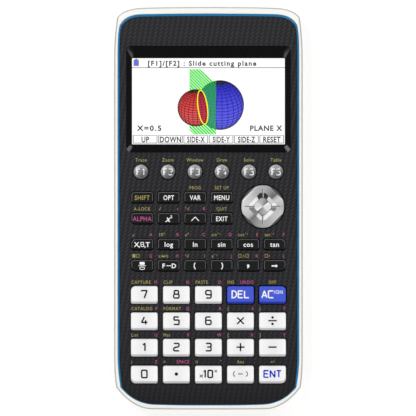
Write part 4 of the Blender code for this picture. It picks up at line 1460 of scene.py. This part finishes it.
@dataclass
class PlateLabels:
    """The yellow and pink print on the plate, above the keys. A bar before a word centres it over its key."""

    keypad: Keypad
    top: float = 17.025
    height: float = 1.6
    function_y: float = 22.65
    rise_small: float = 4.75
    rise_number: float = 6.0
    function_words: tuple = ("Trace", "Zoom", "Window", "Draw", "Solve", "Table")
    labels: dict = field(default_factory=lambda: {
        "variables": ("|PROG", ""), "menu": ("|SET UP", ""), "alpha": ("|A-LOCK", ""), "square": ("√", "r"),
        "power": ("ˣ√", "θ"), "exit": ("|QUIT", ""), "x_theta_t": ("∠", "A"), "log": ("10ˣ", "B"),
        "ln": ("eˣ", "C"), "sin": ("sin⁻¹", "D"), "cos": ("cos⁻¹", "E"), "tan": ("tan⁻¹", "F"),
        "fraction": ("■□", "G"), "decimal_toggle": ("a↔b", "H"), "open_bracket": ("³√", "I"),
        "close_bracket": ("x⁻¹", "J"), "comma": ("□∧□", "K"), "arrow": ("□▸", "L"),
        "7": ("CAPTURE", "M"), "8": ("CLIP", "N"), "9": ("PASTE", "O"), "delete": ("INS", "UNDO"),
        "clear_on": ("|OFF", ""), "4": ("CATALOG", "P"), "5": ("FORMAT", "Q"), "6": ("", "R"),
        "multiply": ("{", "S"), "divide": ("}", "T"), "1": ("List", "U"), "2": ("Mat", "V"), "3": ("", "W"),
        "plus": ("[", "X"), "minus": ("]", "Y"), "0": ("i", "Z"), "point": ("=", "SPACE"),
        "exponent": ("π", '"'), "negate": ("|Ans", ""), "execute": ("|↵", "")})  # fmt: skip

    def build(self) -> None:
        """Prints both colours, each as one piece."""
        pad = self.keypad
        yellow = [self.function_label(i, word) for i, word in enumerate(self.function_words)]
        pink = []
        for rows, columns, pitch, half, rise in (
            (pad.small_rows, 6, pad.small_pitch, pad.small_half[0], self.rise_small),
            (pad.number_rows, 5, pad.number_pitch, pad.number_half[0], self.rise_number),
        ):
            for y, names in rows:
                for column, name in enumerate(names):
                    x = (column - (columns - 1) / 2) * pitch
                    left, right = self.labels.get(name, ("", ""))
                    if left.startswith("|"):
                        yellow.append(self.label(left[1:], x, y + rise, Align.CENTRE))
                    elif left:
                        yellow.append(self.label(left, x - half + 0.25, y + rise, Align.LEFT))
                    if right:
                        pink.append(self.label(right, x + half - 0.3, y + rise, Align.RIGHT))
        for name, marks, finish in (("yellow_labels", yellow, PRINT_YELLOW), ("pink_labels", pink, PRINT_PINK)):
            ride(print_marks(name, marks, self.top, finish.make()), "case")

    def label(self, text: str, x: float, y: float, align: Align) -> Lettering:
        """A label over a small or large key."""
        return Lettering(text, (x, y), self.height, 0.004, align, 0.86, spacing=1.18)

    def function_label(self, i: int, word: str) -> Lettering:
        """A label over a function key."""
        place = ((i - 2.5) * self.keypad.function_pitch, self.function_y)
        return Lettering(word, place, 1.65, 0.004, stretch=0.88, spacing=1.16)


@dataclass
class CursorPad:
    """The round metal pad with four flats, its groove, its button and four engraved lines, each line drawn as a
    strip of painted shadow beside a strip of painted highlight.
    """

    centre: Place = PAD_CENTRE
    radius: float = 10.05
    flat: float = 9.1
    flange: float = 11.2
    sides: int = 96
    shoulder: tuple = ((0.0, 17.65), (0.08, 17.8), (0.25, 17.93), (0.5, 18.03), (1.1, 18.09), (3.0, 18.1))
    dips: tuple = (
        (6.4, 5.45, 18.1), (6.3, 5.35, 18.02), (5.7, 4.85, 17.72), (4.3, 3.6, 17.62), (4.12, 3.45, 17.7),
        (4.05, 3.38, 17.95), (3.85, 3.2, 18.08), (3.0, 2.5, 18.1), (1.5, 1.4, 18.07), (0.5, 0.5, 18.04),
    )  # fmt: skip
    zones: tuple = ((4.08, 3.42, PAD_BUTTON), (4.32, 3.62, PAD_PAINTED_SHADOW), (6.35, 5.4, PAD_GROOVE))
    line_middle: float = 6.25
    line_half: float = 2.05
    line_z: tuple[float, float] = (17.5, 18.112)

    def outline(self, radius: float, flat: float) -> Outline:
        """A circle with four flats at its diagonals."""
        points = []
        for i in range(self.sides):
            a = math.tau * i / self.sides
            off = (a % (math.pi / 2)) - math.pi / 4
            reach = min(radius, flat / math.cos(off))
            points.append((self.centre[0] + reach * math.cos(a), self.centre[1] + reach * math.sin(a)))
        return points

    def build(self) -> None:
        """Builds the pad with its lines."""
        lines = [
            self.line((dx, dy), offset, half, finish)
            for dx, dy in ((1, 0), (0, 1), (-1, 0), (0, -1))
            for finish, offset, half in ((PAD_PAINTED_SHADOW, 0.1, 0.17), (PAD_PAINTED_HIGHLIGHT, -0.24, 0.13))
        ]
        ride(join("cursor_pad_metal", [self.turned(), *lines]), "cursor_pad", "cursor_pad")

    def turned(self) -> bpy.types.Object:
        """The pad itself, each of its zones in its own finish: painted reflections on the top, groove and
        button, painted shade on the ring round the button, the sides and the diagonal facets, and near-black
        painted shade on the flange.
        """
        flange, side = (circle(radius, self.sides, self.centre) for radius in (self.flange, self.radius))
        levels = [(flange, 13.9), (flange, 14.6), (side, 14.6), (side, 17.2)]
        levels += [(self.outline(self.radius - cut, self.flat - cut), height) for cut, height in self.shoulder]
        levels += [(self.outline(radius, flat), height) for radius, flat, height in self.dips]
        pad = dress(loft("pad", levels), PAD_TOP.make())
        finishes = [PAD_TOP, PAD_GROOVE, PAD_BUTTON, PAD_FACET_SHADE, SKIRT_SHADE, PAD_PAINTED_SHADOW]
        for finish in finishes[1:]:
            pad.data.materials.append(finish.make())
        middle = Vector((*self.centre, 0.0)) * MM
        for polygon in pad.data.polygons:
            polygon.material_index = finishes.index(self.finish_at((polygon.center - middle) / MM))
        return smooth(pad, 28)

    def finish_at(self, spot: Vector) -> Moulded:
        """The finish of a spot, given from the pad's middle."""
        reach, diagonal = spot.xy.length, (abs(spot.x) + abs(spot.y)) / math.sqrt(2)
        if reach > 9.0 and spot.z < 17.6:
            return SKIRT_SHADE if spot.z < 15.2 else PAD_FACET_SHADE
        inside = [finish for radius, flat, finish in self.zones if reach < radius and diagonal < flat]
        return inside[0] if inside and spot.z > 17.0 else PAD_TOP

    def line(self, way: tuple[int, int], offset: float, half: float, finish: Moulded) -> bpy.types.Object:
        """One edge of an engraved line that runs out from the middle, drawn as a strip of painted shadow or
        painted highlight.

        Args:
            way: the way that the line runs.
            offset: how far the edge lies to the left of the line's middle, or to the right if negative.
            half: half its width.
            finish: its finish, the painted shadow or the painted highlight.

        Returns:
            The edge, as a thin bar.
        """
        (dx, dy), (low, high) = way, self.line_z
        x, y = self.centre[0] + dx * self.line_middle, self.centre[1] + dy * self.line_middle
        x, y = (x, y + offset) if dx else (x - offset, y)
        half_x, half_y = (self.line_half, half) if dx else (half, self.line_half)
        edge = block("line", (x - half_x, y - half_y, low), (x + half_x, y + half_y, high))
        return dress(edge, finish.make())


# The display's picture, the battery bay and what is on the board.


SCREEN_WHITE, SCREEN_INK = Lit("screen white", rgb(255, 255, 255)), Lit("screen ink", rgb(26, 26, 30))
SCREEN_GREY, SCREEN_LEVEL = Lit("screen grey", rgb(118, 118, 122)), Lit("screen level", rgb(96, 104, 255))
SCREEN_BLUE = Lit("screen blue", rgb(98, 98, 248), rgb(0, 0, 205), (37.0, 59.0))
SCREEN_RED = Lit("screen red", rgb(236, 90, 90), rgb(206, 0, 0), (38.5, 55.5))
SCREEN_CRIMSON = Lit("screen crimson", rgb(214, 44, 84), rgb(176, 0, 44), (39.0, 56.0))
SCREEN_GREEN = Lit("screen green", rgb(34, 220, 34), hatch=1.5)
SCREEN_DEEP_GREEN = Lit("screen deep green", rgb(30, 158, 40), hatch=1.5)
SCREEN_YELLOW = Lit("screen yellow", rgb(255, 246, 0))
BLUE_WIRE, RED_WIRE = Lit("screen wire", rgb(4, 4, 40)), Lit("screen red wire", rgb(50, 2, 2))


@dataclass
class Display:
    """The panel under the window and the lit picture on it: two wire balls cut by a slanted sheet.

    A ball and the cut are each given by a centre and two half sizes.
    """

    ground: tuple[float, float, float, float] = (-35.9, 30.0, 35.9, 70.4)
    base: float = 14.352
    layer_rise: float = 0.011
    plate_thickness: float = 0.01
    disc_thickness: float = 0.008
    red_ball: tuple[float, float, float, float] = (-5.9, 47.1, 8.5, 8.6)
    blue_ball: tuple[float, float, float, float] = (5.5, 48.4, 11.1, 11.55)
    sheet: tuple = (
        (-8.92, 65.24), (-8.92, 36.74), (-6.67, 34.6), (3.58, 34.6), (3.58, 58.24), (1.83, 59.74),
        (-3.92, 65.24),
    )  # fmt: skip
    cut: tuple[float, float, float, float] = (-2.7, 47.35, 2.5, 8.3)
    cut_tilt: float = math.radians(7.5)
    cut_width: float = 0.55
    ball_tilt: float = math.radians(24)
    wire: float = 0.25
    points: int = 96
    menu: tuple = ("UP", "DOWN", "SIDE-X", "SIDE-Y", "SIDE-Z", "RESET")
    menu_y: tuple[float, float] = (30.35, 34.2)
    lines: tuple = (
        Lettering("[F1]/[F2] : Slide cutting plane", (-28.6, 68.1), 2.35, 0.03, Align.LEFT, 1.03, spacing=1.25),
        Lettering("X=0.5", (-33.4, 37.6), 2.5, 0.03, Align.LEFT, 1.1, spacing=1.25),
        Lettering("PLANE X", (34.5, 37.6), 2.5, 0.03, Align.RIGHT, 1.0, spacing=1.15),
    )

    def build(self) -> None:
        """Builds the picture, layer on layer."""
        left, low, right, high = self.ground
        self.layer("screen_ground", (left, low), (right, high), 0, SCREEN_WHITE)
        self.layer("screen_rule", (left, 65.8), (right, 66.15), 1, SCREEN_GREY)
        self.layer("screen_battery_case", (-35.2, 66.75), (-32.7, 69.7), 1, SCREEN_GREY)
        self.layer("screen_battery_tip", (-34.5, 69.7), (-33.4, 70.15), 1, SCREEN_GREY)
        self.layer("screen_battery_level", (-34.8, 67.1), (-33.1, 69.1), 2, SCREEN_LEVEL)
        texts = [*self.lines, *self.tabs()]
        text = join("screen_text", [mark.make(self.level(4), 0.01) for mark in texts])
        ride(dress(text, SCREEN_INK.make()), "case")
        self.balls()

    def tabs(self) -> list[Lettering]:
        """Lays the six tabs of the menu, and returns their words."""
        left, _, right, _ = self.ground
        low, high = self.menu_y
        margin, edge = 0.2, 0.35
        pitch = (right - left - 2 * margin) / len(self.menu)
        half = pitch / 2 - margin
        inner = half - edge
        words = []
        for i, word in enumerate(self.menu):
            x = left + margin + pitch * (i + 0.5)
            self.layer(f"screen_tab_edge_{i + 1}", (x - half, low), (x + half, high), 1, SCREEN_GREY)
            corner, far = (x - inner, low + edge), (x + inner, high - 0.25)
            self.layer(f"screen_tab_{i + 1}", corner, far, 2, SCREEN_WHITE)
            stretch = min(0.78, 4.1 / len(word))
            words.append(Lettering(word, (x, (low + high) / 2), 2.7, 0.026, stretch=stretch, spacing=1.1))
        return words

    def level(self, layer: int) -> float:
        """The height of a layer's upper side."""
        return self.base + self.layer_rise * (layer + 1)

    def layer(self, name: str, low: Place, high: Place, layer: int, finish: Lit) -> None:
        """Lays a thin lit plate on the panel."""
        top = self.level(layer)
        plate = block(name, (*low, top - self.plate_thickness), (*high, top))
        ride(dress(plate, finish.make()), "case")

    def balls(self) -> None:
        """The two balls with their wires, the green sheet between them and the yellow cut."""
        self.disc("screen_blue_ball", self.ring(self.blue_ball), 1, SCREEN_BLUE)
        self.wires("screen_blue_wires", self.blue_ball, 3, BLUE_WIRE, lambda x, y: True)
        self.disc("screen_cutting_sheet", list(self.sheet), 5, SCREEN_GREEN)
        self.disc("screen_shaded_sheet", self.shaded(), 6, SCREEN_DEEP_GREEN)
        edge = self.ring(self.cut, self.cut_tilt)
        self.disc("screen_red_ball", self.red_part(edge), 7, SCREEN_RED)
        self.disc("screen_cut_face", edge, 8, SCREEN_CRIMSON)
        self.wires("screen_red_wires", self.red_ball, 9, RED_WIRE, lambda x, y: not self.beyond(x, y))
        x, y, half_x, half_y = self.cut
        inner = self.ring((x, y, half_x - self.cut_width, half_y - self.cut_width), self.cut_tilt)
        top = self.level(11)
        under = top - self.disc_thickness
        line = loft("screen_cut_line", [(edge, under), (edge, top), (inner, top), (inner, under)])
        close_ring(line)
        ride(dress(line, SCREEN_YELLOW.make()), "case")

    def shaded(self) -> Outline:
        """The part of the blue ball that lies behind the sheet, to the left of the sheet's right side."""
        x, y, half_x, half_y = self.blue_ball
        side = self.sheet[3][0]
        chord = half_y * math.sqrt(1 - ((side - x) / half_x) ** 2)
        arc = [spot for spot in self.ring(self.blue_ball) if spot[0] < side]
        return [(side, y + chord), *arc, (side, y - chord)]

    def red_part(self, edge: Outline) -> Outline:
        """The red ball as far as the right side of the cut, whose outline is given."""
        x, y, _, _ = self.red_ball
        arc = [spot for spot in self.ring(self.red_ball) if spot[0] < -2.9 or not self.beyond(*spot)]
        arc = [spot for spot in arc if spot[0] < -2.0]
        arc.sort(key=lambda spot: math.atan2(spot[1] - y, spot[0] - x) % math.tau)
        quarter = self.points // 4
        return arc + [edge[i % self.points] for i in range(-quarter, quarter + 1)]

    def ring(self, place: tuple[float, float, float, float], tilt: float = 0.0) -> Outline:
        """An ellipse of this centre and half sizes, turned anticlockwise by a tilt in radians."""
        x, y, half_x, half_y = place
        turns = [math.tau * i / self.points for i in range(self.points)]
        flat = [(half_x * math.cos(a), half_y * math.sin(a)) for a in turns]
        cos, sin = math.cos(tilt), math.sin(tilt)
        return [(x + u * cos - v * sin, y + u * sin + v * cos) for u, v in flat]

    def beyond(self, x: float, y: float) -> bool:
        """Whether a spot lies to the right of the cut."""
        dx, dy = x - self.cut[0], y - self.cut[1]
        cos, sin = math.cos(self.cut_tilt), math.sin(self.cut_tilt)
        u, v = dx * cos + dy * sin, dy * cos - dx * sin
        return u > self.cut[2] * math.sqrt(max(0.0, 1 - (v / self.cut[3]) ** 2))

    def disc(self, name: str, outline: Outline, layer: int, finish: Lit) -> None:
        """Lays a thin lit plate of any outline on the panel."""
        top = self.level(layer)
        plate = loft(name, [(outline, top - self.disc_thickness), (outline, top)])
        ride(dress(plate, finish.make()), "case")

    def wires(
        self, name: str, place: tuple[float, ...], layer: int, ink: Lit, keep: Callable[[float, float], bool]
    ) -> None:
        """The meridians and parallels of a ball that is seen from a little above its equator.

        Args:
            name: the piece's name.
            place: the ball's centre and half sizes.
            layer: the layer that the wires lie on.
            ink: their finish.
            keep: tells whether a spot is drawn.
        """
        runs = []
        for line in self.grid():
            run: list[tuple[float, float, float]] = []
            for turn, lift in line:
                spot, front = self.project(place, math.radians(turn), math.radians(lift))
                if front and keep(*spot):
                    run.append((*spot, 0.0))
                    continue
                if len(run) > 1:
                    runs.append(run)
                run = []
            if len(run) > 1:
                runs.append(run)
        rim = [spot for spot in self.ring(place) if keep(*spot) or place[0] > 0]
        start = max(range(len(rim)), key=lambda i: math.dist(rim[i], rim[i - 1]))
        runs.append([(*spot, 0.0) for spot in rim[start:] + rim[:start]])
        obj = bent_bars(name, runs, self.wire, 0, caps=False)
        top, flatness = self.level(layer), 0.02
        for vertex in obj.data.vertices:
            vertex.co.z = top * MM + vertex.co.z * flatness
        ride(dress(obj, ink.make()), "case")

    def grid(self) -> list[list[tuple[int, int]]]:
        """A ball's meridians and parallels, each as turns and lifts in degrees."""
        meridians = [[(15 * number + 5, lift) for lift in range(-90, 91, 6)] for number in range(24)]
        parallels = [[(turn, lift) for turn in range(0, 361, 6)] for lift in range(-72, 90, 8)]
        return meridians + parallels

    def project(self, place: tuple[float, ...], turn: float, lift: float) -> tuple[Place, bool]:
        """Where a spot of a ball shows on the display, and whether it is on the near side."""
        x, y, half_x, half_y = place
        cos, sin = math.cos(self.ball_tilt), math.sin(self.ball_tilt)
        px, pz, py = math.cos(lift) * math.sin(turn), math.cos(lift) * math.cos(turn), math.sin(lift)
        return (x + px * half_x, y + (py * cos - pz * sin) * half_y), py * sin + pz * cos > 0.0


@dataclass
class BatteryBay:
    """The cover, the four cells under it and their springs and plates."""

    half: float = 22.3
    reach_y: tuple[float, float] = (23.4, 77.3)
    under: float = 0.5
    over: float = 1.6
    cell_pitch: float = 10.5
    cell_y: tuple[float, float] = (28.4, 72.1)
    axis_z: float = 6.9
    cell_profile: tuple = (
        (3.4, 0.0), (4.3, 0.0), (4.75, 0.12), (5.1, 0.45), (5.1, 43.1), (4.7, 43.5), (3.6, 43.6), (3.0, 43.4),
        (2.75, 43.4), (2.7, 44.3), (2.5, 44.55),
    )  # fmt: skip
    band: tuple[float, float] = (12.0, 0.3)
    spring_turns: int = 4
    spring_points: int = 120

    def build(self) -> None:
        """Builds the cover and everything under it."""
        self.cover()
        self.cells()
        self.contacts()

    def cover(self) -> None:
        """The cover with two tabs, a nail notch, grip ridges and an arrow."""
        low, high = self.reach_y
        box = RoundedBox((0.0, (low + high) / 2), (self.half, (high - low) / 2), 1.0)
        levels = [(box.outline(-0.25), self.under), (box.outline(-0.08), 0.58), (box.outline(), 0.75)]
        levels += [(box.outline(), 1.3), (box.outline(-0.1), 1.5), (box.outline(-0.3), self.over)]
        cover = loft("battery_cover_plate", levels)
        root, tip = low + 1.3, 21.4
        profile = [(low + 0.01, 2.15), (tip, 2.15), (tip, 2.85), (root, 2.85), (root, 1.4), (low + 0.01, 1.4)]
        for x in (12.0, -17.0):
            carve(cover, [loft("tab", [(profile, x), (profile, x + 5.0)], "X")], "UNION")
        carve(cover, [block("nail notch", (-6.0, high - 1.6, 0.0), (6.0, high + 0.5, 1.0))])
        rows = [71.2 - 1.5 * i for i in range(5)]
        carve(cover, [block("groove", (-9.0, y, 0.0), (9.0, y + 0.6, 0.78)) for y in rows])
        arrow = [(0.0, 62.4), (-2.6, 59.4), (2.6, 59.4)]
        carve(cover, [loft("arrow", [(arrow, 0.0), (arrow, 0.75)])])
        ride(dress(smooth(cover, 30), WHITE_CASE.make()), "battery_cover", "battery_cover")

    def cells(self) -> None:
        """Four cells side by side, each with a sleeve, a band and bare ends."""
        low, high = self.cell_y
        band_low, band_high = (high - share for share in self.band)
        for number in range(4):
            x = (number - 1.5) * self.cell_pitch
            levels = [(circle(r, 48, (x, self.axis_z)), low + along) for r, along in self.cell_profile]
            cell = dress(loft(f"battery_cell_{number + 1}", levels, "Y"), SLEEVE.make())
            cell.data.materials.append(SLEEVE_BAND.make())
            cell.data.materials.append(STEEL.make())
            take(cell)
            bpy.ops.object.mode_set(mode="EDIT")
            bpy.ops.mesh.select_all(action="SELECT")
            bpy.ops.mesh.bisect(plane_co=(0, band_low * MM, 0), plane_no=(0, 1, 0))
            bpy.ops.object.mode_set(mode="OBJECT")
            for polygon in cell.data.polygons:
                y = polygon.center.y / MM
                bare = y > band_high or y < low + 0.1
                polygon.material_index = 2 if bare else int(y > band_low)
            ride(smooth(cell, 30), "case", "battery_cells" if number == 0 else "")

    def contacts(self) -> None:
        """A spring against each cell's flat end and a plate against each nub."""
        for number in range(4):
            x = (number - 1.5) * self.cell_pitch
            plate = block("plate", (x - 4.2, 76.9, 3.0), (x + 4.2, 77.3, 10.8), 0.1)
            boss = drum("boss", (x, self.axis_z), 2.2, (73.15, 77.0), 0.2, 32, "Y")
            contact = join(f"contact_plate_{number + 1}", [plate, boss])
            ride(dress(smooth(contact), STEEL.make()), "case")
            spring = bent_bars(f"contact_spring_{number + 1}", [self.coil(x)], 0.5, 3)
            ride(dress(smooth(spring, 60), STEEL.make()), "case")

    def coil(self, x: float) -> list[tuple[float, float, float]]:
        """A conical spring's path, its wide end against the bay's wall."""
        path = []
        for i in range(self.spring_points):
            share = i / (self.spring_points - 1)
            radius, a = 3.6 - 1.6 * share, math.tau * self.spring_turns * share
            path.append((x + radius * math.cos(a), 23.6 + 4.6 * share, self.axis_z + radius * math.sin(a)))
        return path


@dataclass
class Electronics:
    """The board with its chips, the sockets, the restart button and the ring under the pad."""

    board_under: float = 9.4
    chips: tuple = (
        ("processor", (-18.0, -22.0), (6.0, 6.0), 1.3), ("memory", (-18.0, -40.0), (4.5, 6.5), 1.1),
        ("flash", (4.0, -30.0), (4.0, 5.0), 1.0), ("power_chip", (12.0, 10.0), (2.6, 2.6), 0.9),
        ("driver", (-6.0, 6.0), (5.0, 2.4), 0.9),
    )  # fmt: skip
    leg_pitch: float = 1.27
    leg_width: float = 0.4
    plunger: tuple = (
        (0.75, 0.9), (0.9, 1.05), (0.9, 2.4), (1.7, 2.4), (1.7, 3.2), (0.7, 3.2), (0.7, 8.6), (0.6, 8.7),
    )  # fmt: skip
    carried_over: tuple = (
        ("circuit_board", BOARD), ("keypad_membrane", RUBBER), ("lcd_panel", PANEL_FRAME),
        ("usb_socket", STEEL), ("link_jack", HARD_BLACK), ("cursor_pivot", HARD_BLACK), ("display_window", PANE),
    )  # fmt: skip

    def build(self) -> None:
        """Builds the small pieces and dresses the ones that are kept from the frame."""
        for name, centre, half, tall in self.chips:
            ride(self.chip(name, centre, half, tall), "case")
        levels = [(circle(radius, 32, RESTART_CENTRE), z) for radius, z in self.plunger]
        button = dress(smooth(loft("restart_plunger", levels)), HARD_BLACK.make())
        ride(button, "restart_button", "restart_button")
        for node, finish in self.carried_over:
            dress(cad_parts[node], finish.make())
            log.info("%s takes %s", node, finish.name)

    def chip(self, name: str, centre: Place, half: Place, tall: float) -> bpy.types.Object:
        """A chip that hangs under the board, with a row of legs along each side."""
        (x, y), (half_x, half_y) = centre, half
        low, high = (x - half_x, y - half_y), (x + half_x, y + half_y)
        body = block(name, (*low, self.board_under - tall), (*high, self.board_under - 0.1), 0.15)
        pieces = [dress(body, CHIP.make())]
        for side in (-1, 1):
            leg_x = x + side * half_x
            for i in range(int((2 * half_y - 1.0) / self.leg_pitch)):
                leg_y = y - half_y + 0.7 + self.leg_pitch * i
                leg = block("leg", (leg_x - 0.6, leg_y, 9.15), (leg_x + 0.6, leg_y + self.leg_width, 9.38))
                pieces.append(dress(leg, STEEL.make()))
        return join(f"{name}_on_board", pieces)


@dataclass
class Studio:
    """A pale floor, soft lights and a long lens straight above, in metres."""

    height: float = 3.0
    lens: float = 549.5
    centre_x: float = -0.0002
    floor_half: float = 6.0
    lamps: tuple = (
        ("rear left", -1, 1, 10.6), ("rear right", 1, 1, 8.2), ("left", -1, -1, 5.2), ("right", 1, -1, 5.2),
    )  # fmt: skip
    lamp_reach: float = 0.66
    lamp_height: float = 1.55
    lamp_size: float = 0.7
    sky_tones: tuple = ((0.0, 0.4), (0.2, 0.5), (0.45, 0.5), (0.6, 0.36), (0.8, 0.24), (1.0, 0.18))

    def build(self) -> None:
        """Sets up the floor, the sky, the lights and the camera."""
        self.floor()
        self.sky()
        for name, x, y, power in self.lamps:
            self.lamp(f"{name} light", (self.lamp_reach * x, self.lamp_reach * y, self.lamp_height), power)
        data = bpy.data.cameras.new("camera")
        data.lens, data.sensor_width, data.clip_end = self.lens, 36.0, 20.0
        camera = bpy.data.objects.new("camera", data)
        camera.location = (self.centre_x, 0.0, self.height)
        bpy.context.collection.objects.link(camera)
        bpy.context.scene.camera = camera
        bpy.context.scene.view_settings.view_transform = "Standard"

    def floor(self) -> None:
        """A pale plane under everything."""
        bpy.ops.object.select_all(action="DESELECT")
        bpy.ops.mesh.primitive_plane_add(size=2 * self.floor_half)
        plane = bpy.context.object
        plane.name = "floor"
        dress(plane, PaleFloor("pale floor").make())

    def sky(self) -> None:
        """A sky that is bright halfway up, dim overhead, and dim at the horizon."""
        world = bpy.data.worlds.new("studio")
        world.use_nodes = True
        bpy.context.scene.world = world
        graph, shader = Graph(world.node_tree), world.node_tree.nodes["Background"]
        way = graph.add("ShaderNodeTexCoord").outputs["Generated"]
        up = graph.add("ShaderNodeSeparateXYZ", {0: way}).outputs[2]
        tones = graph.add("ShaderNodeValToRGB", {0: up})
        stops = tones.color_ramp.elements
        for place, tone in self.sky_tones[1:-1]:
            stops.new(place)
        for stop, (place, tone) in zip(stops, self.sky_tones, strict=True):
            stop.position, stop.color = place, (tone, tone, tone, 1.0)
        graph.tree.links.new(tones.outputs[0], shader.inputs["Color"])
        shader.inputs["Strength"].default_value = 0.9

    def lamp(self, name: str, place: tuple[float, float, float], power: float) -> None:
        """A square soft light that looks at the middle of the object."""
        data = bpy.data.lights.new(name, "AREA")
        data.size, data.energy = self.lamp_size, power
        light = bpy.data.objects.new(name, data)
        light.location = place
        light.rotation_euler = (-Vector(place)).to_track_quat("-Z", "Y").to_euler()
        bpy.context.collection.objects.link(light)


def main() -> None:
    """Builds the calculator on its frame, piece by piece."""
    logging.basicConfig(level=logging.INFO, format="%(name)s: %(message)s")
    RearCase().build()
    keypad = Keypad()
    caps = keypad.build()
    FrontPlate().build(caps)
    PlateLabels(keypad).build()
    CursorPad().build()
    Display().build()
    BatteryBay().build()
    Electronics().build()
    Studio().build()


if __name__ == "__main__":
    main()
